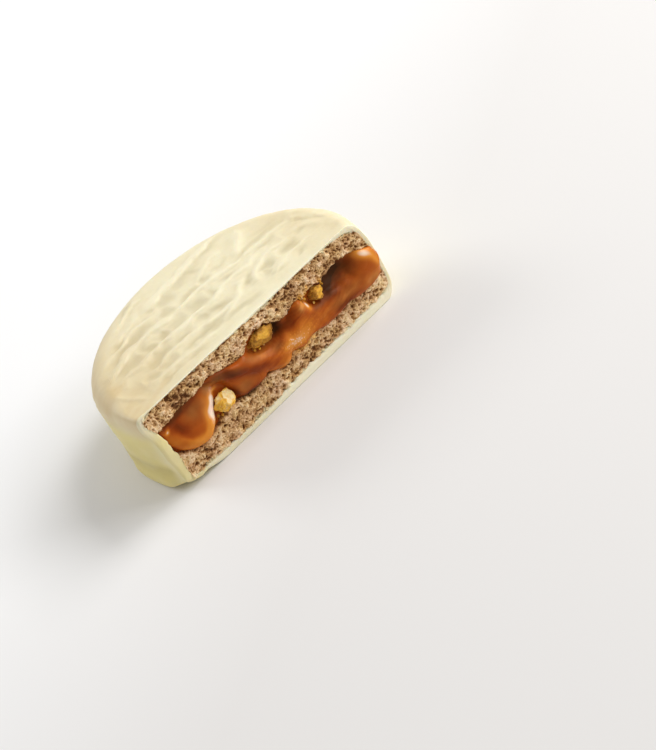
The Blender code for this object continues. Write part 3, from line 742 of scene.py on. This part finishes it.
# Where the caramel is darker (-) or glows (+): x, z, half width, half height, turn, amount. Besides the
# caramel's own tones, many are painted light: painted shade in the recesses, under the biscuits and nuts and
# along the edges, and painted highlights on the left lobe's streak, small glints and the right lobe.
TONES = (
    (-26.2, 13.1, 2, 1.3, -42, -0.28), (-23.6, 11, 2, 0.9, -20, 0.08), (-21.4, 14, 3.2, 1.8, 6, -0.02),
    (-25, 15.6, 5.6, 1, 3, -0.34), (-18.4, 16.2, 3, 0.7, 6, -0.16), (-17.75, 11.9, 0.7, 2.5, -36, 0.7),
    (-18.2, 11.8, 1.4, 3, -35, 0.12), (-27.4, 9.8, 1.3, 1.6, 20, -0.13), (-30.2, 13, 0.5, 3.6, 6, -0.36),
    (-29.2, 10.4, 0.5, 2.2, 24, -0.2), (-28.6, 13, 0.9, 2.2, 14, 0.06), (-19.6, 13, 1.2, 2.8, -24, 0.08),
    (-17.2, 14.6, 0.9, 2.4, -18, 0.06), (-11.8, 14, 1.8, 0.8, -34, -0.12), (-3, 10.4, 1.6, 0.9, -26, -0.06),
    (-22.4, 8, 3.4, 1.2, 6, 0.06), (-28.4, 14.1, 0.34, 0.75, -45, 0.52), (-13.6, 16.2, 3.2, 1.2, -14, -0.16),
    (-15.2, 13.8, 1, 0.4, -20, 0.34), (-11.2, 14.4, 2.6, 1.1, -32, -0.2), (-8.6, 12.6, 3.8, 1.2, -32, -0.16),
    (-4.6, 10.4, 3.2, 1.1, -26, -0.12), (-9.6, 9.8, 2.4, 1.2, -6, 0.01), (-11.9, 10, 0.6, 1.4, 10, -0.3),
    (-9, 7.4, 3, 0.8, -4, -0.56), (-5.8, 14, 2.6, 0.7, -38, 0.02), (-3, 12.4, 1.6, 0.6, -24, 0.16),
    (-0.6, 13.2, 3, 0.4, -4, -0.24), (-1, 9.4, 2.4, 1, -26, -0.06), (1.4, 7.3, 2, 1.2, 0, 0.24),
    (1, 11.4, 2, 0.8, 8, -0.14), (3, 10.4, 1.6, 1.4, 30, 0.16), (5.6, 9.4, 3.2, 1.4, -8, 0.24),
    (8.6, 11, 2.2, 1.2, 0, 0.08), (9.8, 14.6, 1.2, 0.9, 0, 0.32), (4.4, 12.9, 3.4, 0.8, 4, -0.24),
    (7, 14, 1.6, 1.2, 0, -0.13), (11.4, 13.4, 0.5, 1, 24, 0.52), (15.4, 11.6, 3, 0.7, -4, -0.2),
    (20.8, 14.2, 4.4, 2.2, 0, -0.52), (18.2, 13, 2, 1.6, 0, -0.34), (19.6, 10.6, 3.4, 1, -4, -0.12),
    (22.4, 9, 4.4, 0.8, 0, 0.06), (19.8, 7.7, 3.2, 0.9, 0, -0.34), (24.2, 13.4, 1.2, 1.8, -10, 0.03),
    (26.4, 10.9, 1.9, 1.5, 0, 0.02), (30.2, 10.4, 1, 2.6, 8, 0.32), (28.1, 13.8, 2.5, 1.1, -30, 0.51),
    (27, 7.6, 3.2, 0.9, 0, 0.12), (3.2, 14.8, 1.7, 2.2, -20, -0.6),
)
# Where the caramel is a duller brown: x, z, half width, half height, turn, share.
DULL = (
    (-21.6, 13.8, 2.8, 2, -10, 0.8), (-24, 16.2, 6, 1.2, 3, 0.7), (-14.2, 15.6, 2.6, 1.3, -14, 0.9),
    (-9.8, 9.6, 2.4, 1.5, -8, 0.8), (-10.6, 14.6, 2.6, 1, -30, 0.5), (3, 14.4, 2.4, 1.8, 0, 0.9),
    (0, 13, 3.4, 0.6, -4, 0.7), (5.4, 9.4, 3, 1.4, -10, 0.4), (21, 14, 4.6, 2.4, 0, 0.9),
    (-16.6, 15.6, 1.6, 1.5, 0, 0.9), (20.2, 9.2, 4.2, 1.6, 0, 0.8), (15, 11.6, 3.4, 0.8, 0, 0.5),
    (26.6, 7.6, 3.4, 1, 0, 0.6), (-5.4, 13.6, 2.2, 0.8, -38, 0.6), (1, 11.4, 2, 0.8, 0, 0.5),
    (9.8, 14.5, 1.3, 1.1, 0, 0.7),
)
CARAMEL_GRID = (600, 96)
# How sharply cushions meet, and how sharply they are held back at the front.
MEETING = 3.5
HOLDING = 6.0


def outline_depth(x, z, outline):
    """Distance inside a closed outline, and nothing outside it: the nearest of its smoothed edges."""
    corners = np.array(outline, float)
    for _ in range(3):
        after = np.roll(corners, -1, axis=0)
        corners = np.stack((0.75 * corners + 0.25 * after, 0.25 * corners + 0.75 * after), 1).reshape(-1, 2)
    nearest = np.full(x.shape, 99.0)
    inside = np.zeros(x.shape, bool)
    for (ax, az), (bx, bz) in zip(corners, np.roll(corners, -1, axis=0)):
        along_x, along_z = bx - ax, bz - az
        share = np.clip(((x - ax) * along_x + (z - az) * along_z) / (along_x**2 + along_z**2), 0, 1)
        nearest = np.minimum(nearest, np.hypot(x - ax - share * along_x, z - az - share * along_z))
        crossed = (az > z) != (bz > z)
        inside ^= crossed & (x < ax + (z - az) * along_x / (along_z if along_z else 1e-9))
    return np.where(inside, nearest, 0.0)


def soften(grid, reach, times):
    """Averages a grid over a short run of rows, then of columns, several times."""
    for _ in range(times):
        for _ in range(2):
            padded = np.pad(grid, ((reach, reach), (0, 0)), "edge")
            grid = np.mean([padded[n:n + len(grid)] for n in range(2 * reach + 1)], axis=0).T
    return grid


def caramel_reach(x, z):
    """How far the caramel stands out of the cut: cushions with quarter-round rims, and swells, less hollows.

    The cushions meet by log(sum(exp(k h))) / k, a smooth form of the highest of them.
    """
    face = np.stack((x, z), -1)
    bent_x = x + 0.20 * soft_noise(face, 2.6, 61)
    bent_z = z + 0.16 * soft_noise(face, 2.2, 62)
    heights = [np.full(x.shape, -BACK)]
    for rim, reach, sag, outline in CUSHIONS:
        depth = outline_depth(bent_x, bent_z, outline)
        middle = np.mean([corner[1] for corner in outline])
        body = np.sqrt(1 - (1 - np.clip(depth / rim, 0, 1)) ** 2)
        lean = 4.0 * np.tanh(sag * (z - middle) / 4.0)
        heights.append((reach - lean + BACK) * body - BACK)
    total = np.log(np.sum([np.exp(MEETING * h) for h in heights], axis=0)) / MEETING
    for *place, depth in HOLLOWS:
        total = total - depth * bell(bent_x, bent_z, place, 3)
    for *place, height in SWELLS:
        total = total + height * bell(bent_x, bent_z, place)
    return total + 0.03 * rough_noise(face, 1.8, 63, 2)


def sugar_share(x, z):
    """Where the caramel has grained."""
    return sum(share * bell(x, z, place) for *place, share in SUGAR)


def sugar_grain(face):
    """Scattered grains of three sizes: soft dots at the middles of some cells, 0 between and 1 on them."""
    grain = np.zeros(face.shape[:-1])
    for size, seed in ((1.1, 64), (0.7, 65), (0.5, 67)):
        sway = np.stack((soft_noise(face, size, seed + 3), soft_noise(face, size, seed + 4)), -1)
        hole, _, number = pebbles(face + 0.4 * size * sway, size, seed)
        grain = np.maximum(grain, ease((0.14 / size + 0.12 - hole) / 0.24) * rise(number, 0.62, 0.2))
    return grain


def caramel_tone(x, z):
    """0 for the darkest caramel to 1 for the glowing orange of a thin edge, a painted glow.

    A middle tone, the table's bells with their painted shade and highlights, a glowing band of painted light
    inside the left lobe's rim, sugar and drawn-out strands.
    """
    face = np.stack((x, z), -1)
    bent_x = x + 0.35 * soft_noise(face, 2.4, 72)
    bent_z = z + 0.30 * soft_noise(face, 2.0, 73)
    tone = np.full(x.shape, 0.46)
    for *place, amount in TONES:
        tone = tone + amount * bell(bent_x, bent_z, place)
    depth = outline_depth(bent_x, bent_z, CUSHIONS[0][3])
    # Painted glow in a band inside the left lobe's rim, a little darker deeper inside.
    band = rise(depth, 3.4, -1) * ease(depth / 0.5) * rise(z, 13.6, -3)
    tone = tone + 0.24 * band - 0.06 * rise(depth, 2.8, 1.5)
    tone = tone + sugar_share(x, z) * (0.14 + 0.26 * sugar_grain(face))
    strands = rough_noise(np.stack((bent_x, bent_z - 0.25 * bent_x), -1), (2.4, 0.40), 66, 2)
    tone = tone + 0.05 * strands * rise(x, -6, 4) * rise(x, 27, -6)
    return np.clip(tone + 0.05 * rough_noise(face, 2.2, 71, 3), 0, 1)


def dull_share(x, z):
    """The duller brown's share: the strongest of the table's bells, made uneven by noise."""
    ovals = [share * bell(x, z, place) for *place, share in DULL]
    return np.clip(np.max(ovals, axis=0) * (1 + 0.3 * soft_noise(np.stack((x, z), -1), 1.6, 74)), 0, 1)


def make_caramel(material):
    """The caramel: its reach over a grid in the cut between the biscuits, and its rim swept back.

    The reach is softened, tucked in by a quarter round along its edge, held under a most by log(1 + exp), and
    kept in front of the coating where it hangs over it at the right end.
    """
    columns, rows = CARAMEL_GRID
    across, up = share_grid(columns, rows)
    x = blend(-30.0, 31.2, across) + 0 * up
    for _ in range(2):
        z = blend(through(LOWER_FACE, x) - 0.25, through(UPPER_FACE, x) + 0.25, up)
        overhang = 0.05 + 0.35 * hill(z - 11.2, 2.2)
        x = blend(through(LEFT_END, z) - 0.15, through(RIGHT_END, z) + overhang, across)
    reach = soften(caramel_reach(x, z), 2, 3)
    reach = reach + 0.04 * sugar_share(x, z) * sugar_grain(np.stack((x, z), -1))
    tall = through(UPPER_FACE, x) - through(LOWER_FACE, x)
    edge = np.minimum(np.minimum(up, 1 - up) * tall, np.minimum(x - x[:, :1], x[:, -1:] - x))
    tuck = 1 - np.sqrt(1 - np.clip(1 - edge / 0.7, 0, 1) ** 2)
    reach = blend(reach, np.minimum(reach, 0) - 0.35, tuck)
    reach = FRONT_MOST - np.logaddexp(0, HOLDING * (FRONT_MOST - reach)) / HOLDING
    hanging = ease((x - through(RIGHT_END, z) - 0.05) / 0.15)
    reach = blend(reach, np.maximum(reach, 0.04), hanging)
    y = cut_plane(z) - reach
    points = np.stack((x, y, z), -1).reshape(-1, 3)
    behind = points[rim_of(rows, columns)]
    behind[:, 0] = np.minimum(behind[:, 0], through(RIGHT_END, behind[:, 2]))
    behind[:, 1] = np.maximum(behind[:, 1], cut_plane(behind[:, 2]) + 0.1)
    loops = [behind, *swept_back(behind, STACK_STEPS, STACK_WALL)]
    hidden = np.full(sum(len(loop) for loop in loops), HIDDEN_LOOK)
    looks = {"tone": np.append(caramel_tone(x, z), hidden), "dull": np.append(dull_share(x, z), hidden)}
    points = np.concatenate((points, *loops))
    faces = closed_faces(rows, columns, len(loops))
    return add_piece("caramel_layer", points, faces, material, "filling", looks)


# ---- walnuts

# Nut pieces: middle x and z, half sizes along x, y and z, turn, how far the middle stands forward, how amber
# the skin is, how much paler the flesh is, how much darker the left end is, and which way each of two breaks
# in the flesh faces, with its distance from the middle.
NUTS = (
    (-14.85, 10.5, 2.8, 1.6, 2.3, 18, 0, 0.34, 0.24, 0.04,
     ((0.72, -0.58, 0.38, 0.55), (0.92, -0.3, -0.05, 0.8))),
    # The second piece's deep amber is partly painted shade, for the pocket it lies in.
    (-1.1, 15.3, 3.5, 1.5, 1.9, -4, -0.65, 0.68, 0.2, 0,
     ((0.3, -0.9, 0.42, 0.72), (-0.5, -0.6, -0.62, 0.9))),
    (14.8, 14, 1.75, 1.4, 1.5, -12, -0.4, 0.64, 0.18, 0.12,
     ((0.45, -0.88, 0.1, 0.7), (-0.3, -0.5, 0.8, 0.9))),
)
# Small nut crumbs: x, z, size, how far forward, how amber.
NUT_BITS = (
    (-17.8, 8.7, 0.5, -0.2, 0.8), (-16.9, 8.3, 0.36, -0.1, 0.7), (-3.5, 13.9, 0.34, -0.5, 0.6),
    (-2.4, 13.5, 0.28, -0.3, 0.52), (-1.2, 13.6, 0.24, -0.3, 0.5), (2.3, 14.8, 0.62, -1, 0.84),
    (10.9, 15.6, 0.56, -0.4, 0.7), (11.7, 14.9, 0.4, -0.2, 0.6), (12.5, 15.9, 0.46, -0.3, 0.66),
    (13.1, 12.8, 0.3, 0, 0.46), (4.7, 7.1, 0.4, -0.2, 0.66), (6.3, 6.8, 0.46, -0.2, 0.62),
    (7.6, 6.8, 0.3, -0.1, 0.7), (8.8, 7.1, 0.4, -0.2, 0.64), (16.9, 15.2, 0.52, -0.5, 0.66),
    (17.2, 14.3, 0.36, -0.8, 0.74),
)
BIT_BREAKS = ((0.6, -0.7, 0.3, 0.55), (-0.5, -0.6, 0.6, 0.7))
BIT_SHAPE = np.array((1.0, 0.8, 0.8))
NUT_GRID = (70, 110)
BIT_GRID = (16, 24)
# Where in the noise the nuts' lumps are read, and how sharply a break cuts them.
LUMPS_AT = 20
BREAKING = 12.0


def nut_points(half_sizes, turn, seed, rings, spokes, breaks):
    """A broken nut piece: a ball with soft lobes and creases, cut flat by its breaks, stretched and turned.

    A break is a plane: the radius that reaches it is its distance over the cosine to it, and the two radii
    meet by a smooth form of the lesser. Gives the points, and how much of each is flesh rather than skin.
    """
    polar = np.linspace(0, np.pi, rings)[:, None]
    round_ = np.linspace(0, 2 * np.pi, spokes + 1)[None, :]
    level = np.cos(polar) + 0 * round_
    ball = np.stack((np.sin(polar) * np.cos(round_), np.sin(polar) * np.sin(round_), level), -1)
    place = ball + LUMPS_AT
    facet, facet_gap, _ = pebbles(place, 0.85, seed)
    chips, chip_gap, _ = pebbles(place, 0.34, seed + 1)
    radius = 1.0 + 0.22 * soft_noise(place, 0.9, seed + 2) + 0.14 * soft_noise(place, 0.40, seed + 3)
    radius = radius + 0.07 * soft_noise(place, 0.18, seed + 5)
    radius = radius - 0.09 * ease((0.36 - (facet_gap - facet)) / 0.36)
    flesh = np.zeros(radius.shape)
    for face_x, face_y, face_z, away in breaks:
        towards = ball @ np.array((face_x, face_y, face_z))
        limit = (away + 0.10 * soft_noise(place, 0.5, seed + 4)) / np.maximum(towards, 0.05)
        flesh = np.maximum(flesh, ease((radius - limit) / 0.10))
        radius = -np.logaddexp(-BREAKING * radius, -BREAKING * limit) / BREAKING
    radius = radius - 0.035 * ease((0.25 - (chip_gap - chips)) / 0.25) * (0.2 + flesh)
    points = ball * radius[..., None] * half_sizes
    angle = math.radians(turn)
    turned = points.copy()
    turned[..., 0] = points[..., 0] * math.cos(angle) - points[..., 2] * math.sin(angle)
    turned[..., 2] = points[..., 0] * math.sin(angle) + points[..., 2] * math.cos(angle)
    return turned, flesh


def make_nuts(material):
    """The three big nut pieces, each its own mesh, paler on their breaks."""
    rings, spokes = NUT_GRID
    for number, (x, z, *half_sizes, turn, forward, amber, pale, fade, breaks) in enumerate(NUTS, 1):
        shape, flesh = nut_points(half_sizes, turn, 80 + number * 5, rings, spokes, breaks)
        warm = amber - pale * flesh - fade * shape[..., 0] / half_sizes[0]
        warm = warm - 0.06 * shape[..., 2] / half_sizes[2] + 0.15 * rough_noise(shape, 1.4, 95, 3)
        points = (shape + (x, cut_plane(z) - forward, z)).reshape(-1, 3)
        faces = grid_faces(rings, spokes + 1)
        values = {"amber": np.clip(warm, 0, 1)}
        add_piece(f"walnut_piece_{number}", points, faces, material, f"walnut_{number}", values)


def make_nut_bits(material):
    """The small nut crumbs, all in one mesh: little nut pieces with two breaks each."""
    rings, spokes = BIT_GRID
    points, faces, warm = [], [], []
    for number, (x, z, size, forward, amber) in enumerate(NUT_BITS):
        shape, _ = nut_points(size * BIT_SHAPE, 47 * number, 300 + 7 * number, rings, spokes, BIT_BREAKS)
        faces.append(grid_faces(rings, spokes + 1, number * rings * (spokes + 1)))
        points.append((shape + (x, cut_plane(z) - forward, z)).reshape(-1, 3))
        warm.append(np.clip(amber + 0.3 * soft_noise(shape, 0.5, 96), 0, 1).ravel())
    values = {"amber": np.concatenate(warm)}
    add_piece("walnut_bits", np.concatenate(points), np.concatenate(faces), material, None, values)


# ---- materials

def new_material(name):
    """A material with one Principled shader."""
    material = bpy.data.materials.new(name)
    material.use_nodes = True
    tree = material.node_tree
    tree.nodes.clear()
    output = tree.nodes.new("ShaderNodeOutputMaterial")
    shader = tree.nodes.new("ShaderNodeBsdfPrincipled")
    tree.links.new(shader.outputs["BSDF"], output.inputs["Surface"])
    return material, tree, shader


def noise_node(tree, scale, detail=3.0, roughness=0.5):
    """Noise over the piece's own coordinates, which are metres."""
    place = tree.nodes.new("ShaderNodeTexCoord")
    noise = tree.nodes.new("ShaderNodeTexNoise")
    noise.inputs["Scale"].default_value = scale
    noise.inputs["Detail"].default_value = detail
    noise.inputs["Roughness"].default_value = roughness
    tree.links.new(place.outputs["Object"], noise.inputs["Vector"])
    return noise.outputs["Fac"]


def ramp_node(tree, source, *stops):
    """A colour ramp: each stop is a place in 0..1 and a colour."""
    ramp = tree.nodes.new("ShaderNodeValToRGB")
    elements = ramp.color_ramp.elements
    while len(elements) < len(stops):
        elements.new(0.5)
    for element, (place, colour) in zip(elements, stops):
        element.position = place
        element.color = (*colour, 1.0)
    tree.links.new(source, ramp.inputs["Fac"])
    return ramp.outputs["Color"]


def fill_sockets(tree, sockets, values):
    """Links each value that is a socket, and sets each one that is a colour or a number."""
    for socket, value in zip(sockets, values):
        if isinstance(value, bpy.types.NodeSocket):
            tree.links.new(value, socket)
        elif isinstance(value, tuple):
            socket.default_value = (*value, 1.0)
        else:
            socket.default_value = value


def mix_node(tree, share, first, second, mode="MIX"):
    """Two colours mixed by a share."""
    mix = tree.nodes.new("ShaderNodeMix")
    mix.data_type = "RGBA"
    mix.blend_type = mode
    fill_sockets(tree, [s for s in mix.inputs if s.enabled], (share, first, second))
    return [s for s in mix.outputs if s.enabled][0]


def math_node(tree, operation, *values):
    """One step of arithmetic on numbers and sockets."""
    node = tree.nodes.new("ShaderNodeMath")
    node.operation = operation
    fill_sockets(tree, node.inputs, values)
    return node.outputs[0]


def attribute_node(tree, label, share=None):
    """One of the mesh's own colour shares, times a number if one is given."""
    node = tree.nodes.new("ShaderNodeAttribute")
    node.attribute_name = label
    value = node.outputs["Fac"]
    return math_node(tree, "MULTIPLY", value, share) if share else value


def flecked(tree, source, scale, detail, roughness, amount):
    """A value made uneven by noise of a scale: source + amount (noise - 0.5)."""
    noise = noise_node(tree, scale, detail, roughness)
    return math_node(tree, "MULTIPLY_ADD", math_node(tree, "SUBTRACT", noise, 0.5), amount, source)


def finish_material(tree, shader, colour, constants, bump_scale, bump_detail, bump_depth):
    """Joins the colour, sets the sockets that are the same all over, and adds a fine bump from noise."""
    tree.links.new(colour, shader.inputs["Base Color"])
    for socket, value in constants.items():
        shader.inputs[socket].default_value = value
    bump = tree.nodes.new("ShaderNodeBump")
    bump.inputs["Distance"].default_value = bump_depth
    bump.inputs["Strength"].default_value = 1.0
    tree.links.new(noise_node(tree, bump_scale, bump_detail), bump.inputs["Height"])
    tree.links.new(bump.outputs["Normal"], shader.inputs["Normal"])


def cream_coating():
    """Cream: mottled, then olive down the side, greyer where thin and where shade is painted, paler on crests
    and where light is painted along the cut's edges, and warmer at the ends.
    """
    material, tree, shader = new_material("cream_coating")
    mottle = noise_node(tree, 260.0, 4.0)
    colour = ramp_node(tree, mottle, (0.30, (0.82, 0.73, 0.49)), (0.70, (0.87, 0.79, 0.55)))
    colour = mix_node(tree, attribute_node(tree, "side", 0.95), colour, (0.83, 0.71, 0.285))
    # The greyer colour of thin coating, which also paints the shade on the left wall.
    thin_and_shaded = mix_node(tree, 1.0, colour, (0.74, 0.71, 0.64), "MULTIPLY")
    colour = mix_node(tree, attribute_node(tree, "thin_and_shaded"), colour, thin_and_shaded)
    # Paler on crests, and painted light along the cut's edges.
    colour = mix_node(tree, attribute_node(tree, "crest_and_lit_edge", 0.52), colour, (0.95, 0.88, 0.65))
    colour = mix_node(tree, attribute_node(tree, "warm", 0.75), colour, (0.70, 0.54, 0.29))
    finish_material(tree, shader, colour, {
        "Roughness": 0.50,
        "Specular IOR Level": 0.35,
        "Subsurface Weight": 0.25,
        "Subsurface Radius": (1.0, 0.75, 0.4),
        "Subsurface Scale": 0.0008,
    }, 900.0, 3.0, 0.00004)
    return material


def cocoa_crumb():
    """Cocoa crumb: a ramp from dark to pale over the lightness, then nut meal and smears of coating."""
    material, tree, shader = new_material("cocoa_crumb")
    colour = ramp_node(
        tree,
        flecked(tree, attribute_node(tree, "crumb"), 2600.0, 3.0, 0.6, 0.5),
        (0.02, (0.130, 0.052, 0.018)),
        (0.24, (0.31, 0.150, 0.056)),
        (0.46, (0.56, 0.340, 0.155)),
        (0.66, (0.78, 0.545, 0.300)),
        (0.90, (0.94, 0.76, 0.51)),
    )
    hue = ramp_node(tree, noise_node(tree, 420.0, 2.0), (0.35, (1.0, 0.94, 0.78)), (0.65, (1.0, 0.92, 0.91)))
    colour = mix_node(tree, 1.0, colour, hue, "MULTIPLY")
    meal = mix_node(tree, 1.0, colour, (1.12, 0.92, 0.46), "MULTIPLY")
    colour = mix_node(tree, attribute_node(tree, "meal"), colour, meal)
    colour = mix_node(tree, attribute_node(tree, "smear", 0.7), colour, (0.78, 0.70, 0.44))
    constants = {"Roughness": 0.85, "Specular IOR Level": 0.10}
    finish_material(tree, shader, colour, constants, 3500.0, 3.0, 0.00006)
    return material


def caramel():
    """Caramel: a clear and a brown ramp over the tone, mixed by the dull share, which also roughens it."""
    material, tree, shader = new_material("caramel")
    tone = attribute_node(tree, "tone")
    clear = ramp_node(
        tree,
        tone,
        (0.0, (0.060, 0.014, 0.003)),
        (0.25, (0.24, 0.036, 0.004)),
        (0.45, (0.42, 0.085, 0.009)),
        (0.65, (0.60, 0.175, 0.017)),
        (0.82, (0.76, 0.29, 0.040)),
        # The palest stop is the colour of the painted highlights.
        (1.0, (0.96, 0.76, 0.59)),
    )
    brown = ramp_node(
        tree,
        tone,
        (0.0, (0.060, 0.018, 0.004)),
        (0.25, (0.17, 0.050, 0.010)),
        (0.45, (0.32, 0.110, 0.022)),
        (0.70, (0.62, 0.260, 0.070)),
    )
    dull = attribute_node(tree, "dull")
    tree.links.new(math_node(tree, "MULTIPLY_ADD", dull, 0.30, 0.26), shader.inputs["Roughness"])
    finish_material(tree, shader, mix_node(tree, dull, clear, brown), {
        "Specular IOR Level": 0.13,
        "Specular Tint": (1.0, 0.80, 0.56, 1.0),
        "Subsurface Weight": 0.15,
        "Subsurface Radius": (1.0, 0.3, 0.08),
        "Subsurface Scale": 0.0006,
    }, 700.0, 2.0, 0.00003)
    return material


def walnut():
    """Walnut: a ramp from pale flesh to dark skin over the amber share, flecked by noise."""
    material, tree, shader = new_material("walnut_piece")
    colour = ramp_node(
        tree,
        flecked(tree, attribute_node(tree, "amber"), 1400.0, 3.0, 0.5, 0.36),
        (0.10, (0.88, 0.68, 0.35)),
        (0.34, (0.84, 0.46, 0.060)),
        (0.56, (0.54, 0.25, 0.030)),
        (0.78, (0.29, 0.12, 0.016)),
        (0.98, (0.11, 0.040, 0.008)),
    )
    finish_material(tree, shader, colour, {
        "Roughness": 0.42,
        "Specular IOR Level": 0.12,
        "Subsurface Weight": 0.2,
        "Subsurface Radius": (1.0, 0.6, 0.2),
        "Subsurface Scale": 0.001,
    }, 1800.0, 3.0, 0.0001)
    return material


# ---- stage

# The camera's angles in degrees, its distance, lens and aim in millimetres.
CAMERA_TURN = 24.63
CAMERA_RISE = 34.52
CAMERA_ROLL = 29.74
CAMERA_DISTANCE = 380.0
CAMERA_LENS = 84.43
AIM = (11.12, -3.05, -8.79)
# The floor's width in metres, and the strength of the even sky.
FLOOR_SIZE = 6.0
SKY_STRENGTH = 0.42
# Large soft panels: place, width and height, power. They all face the cookie's middle.
PANELS = {
    "key": ((660.0, -60.0, 600.0), (420, 420), 5.0),
    "back": ((-330.0, 760.0, 480.0), (420, 300), 2.6),
    "front": ((680.0, -520.0, 420.0), (400, 400), 3.0),
}
MIDDLE = (0.0, 0.0, 10.0)


def from_cookie(place):
    """A place given in millimetres from the middle of the cookie's base, in the frame's metres."""
    return (Vector(place) + Vector((0.0, CENTRE_Y, 0.0))) * MM


def camera_axes():
    """Right, up and forward of a camera turned, raised and rolled about the object."""
    turn, pitch, roll = (math.radians(a) for a in (CAMERA_TURN, CAMERA_RISE, CAMERA_ROLL))
    forward = Vector((math.sin(turn) * math.cos(pitch), math.cos(turn) * math.cos(pitch), -math.sin(pitch)))
    level = Vector((math.cos(turn), -math.sin(turn), 0.0))
    above = level.cross(forward)
    right = math.cos(roll) * level - math.sin(roll) * above
    up = math.sin(roll) * level + math.cos(roll) * above
    return right, up, forward


def add_camera():
    """The camera: its distance back from its aim, along its own axis."""
    right, up, forward = camera_axes()
    lens = bpy.data.cameras.new("camera")
    lens.lens = CAMERA_LENS
    lens.sensor_width = 36.0
    lens.clip_start = 0.01
    lens.clip_end = 10.0
    camera = bpy.data.objects.new("camera", lens)
    bpy.context.scene.collection.objects.link(camera)
    turned = Matrix((right, up, -forward)).transposed().to_4x4()
    camera.matrix_world = Matrix.Translation(from_cookie(AIM) - forward * CAMERA_DISTANCE * MM) @ turned
    bpy.context.scene.camera = camera


def add_floor():
    """A plain white floor, a little darker towards the front and the right: painted shade."""
    bpy.ops.mesh.primitive_plane_add(size=FLOOR_SIZE, location=(0.0, 0.0, 0.0))
    floor = bpy.context.object
    floor.name = "floor"
    material, tree, shader = new_material("floor_white")
    place = tree.nodes.new("ShaderNodeTexCoord")
    split = tree.nodes.new("ShaderNodeSeparateXYZ")
    tree.links.new(place.outputs["Object"], split.inputs["Vector"])
    depth = math_node(tree, "MULTIPLY_ADD", split.outputs["Y"], 6.0, 0.45)
    depth = math_node(tree, "MULTIPLY_ADD", split.outputs["X"], -3.0, depth)
    colour = ramp_node(tree, depth, (0.2, (0.78, 0.76, 0.74)), (0.85, (0.93, 0.925, 0.92)))
    tree.links.new(colour, shader.inputs["Base Color"])
    shader.inputs["Roughness"].default_value = 1.0
    shader.inputs["Specular IOR Level"].default_value = 0.0
    floor.data.materials.append(material)


def add_light(name, place, aim, size, power, spread=180.0, glint_on=None):
    """A rectangular panel turned from its place to its aim, that shines within a spread in degrees.

    A glint is a small panel that gives one piece a highlight and lights nothing else.
    """
    data = bpy.data.lights.new(name, "AREA")
    data.shape = "RECTANGLE"
    data.size = size[0] * MM
    data.size_y = size[1] * MM
    data.energy = power
    data.spread = math.radians(spread)
    light = bpy.data.objects.new(name, data)
    bpy.context.scene.collection.objects.link(light)
    light.location = from_cookie(place)
    light.rotation_mode = "QUATERNION"
    light.rotation_quaternion = (Vector(place) - Vector(aim)).to_track_quat("Z", "Y")
    light.visible_camera = False
    if glint_on:
        light.visible_diffuse = False
        lit = bpy.data.collections.new(name)
        lit.objects.link(glint_on)
        light.light_linking.receiver_collection = lit


def add_lights(glossy_piece):
    """An even white sky, three large panels, and a glint on the left lobe of the glossy piece."""
    world = bpy.data.worlds.new("studio")
    bpy.context.scene.world = world
    world.use_nodes = True
    world.node_tree.nodes["Background"].inputs["Color"].default_value = (1.0, 1.0, 1.0, 1.0)
    world.node_tree.nodes["Background"].inputs["Strength"].default_value = SKY_STRENGTH
    for name, (place, size, power) in PANELS.items():
        add_light(name, place, MIDDLE, size, power)
    add_light("glint", (6.0, -21.0, 2.0), (-17.8, -11.0, 11.6), (14, 14), 0.0004, 16, glossy_piece)
    bpy.context.scene.view_settings.view_transform = "Standard"


def main():
    """Makes the camera, the floor, the pieces and the lights."""
    add_camera()
    add_floor()
    make_coating(cream_coating())
    crumb = cocoa_crumb()
    make_biscuit("upper_biscuit_crumb", "upper_biscuit", crumb, 100, UPPER_FACE, STACK_TOP, True)
    make_biscuit("lower_biscuit_crumb", "lower_biscuit", crumb, 200, STACK_BASE, LOWER_FACE, False)
    layer = make_caramel(caramel())
    nut = walnut()
    make_nuts(nut)
    make_nut_bits(nut)
    add_lights(layer)


main()
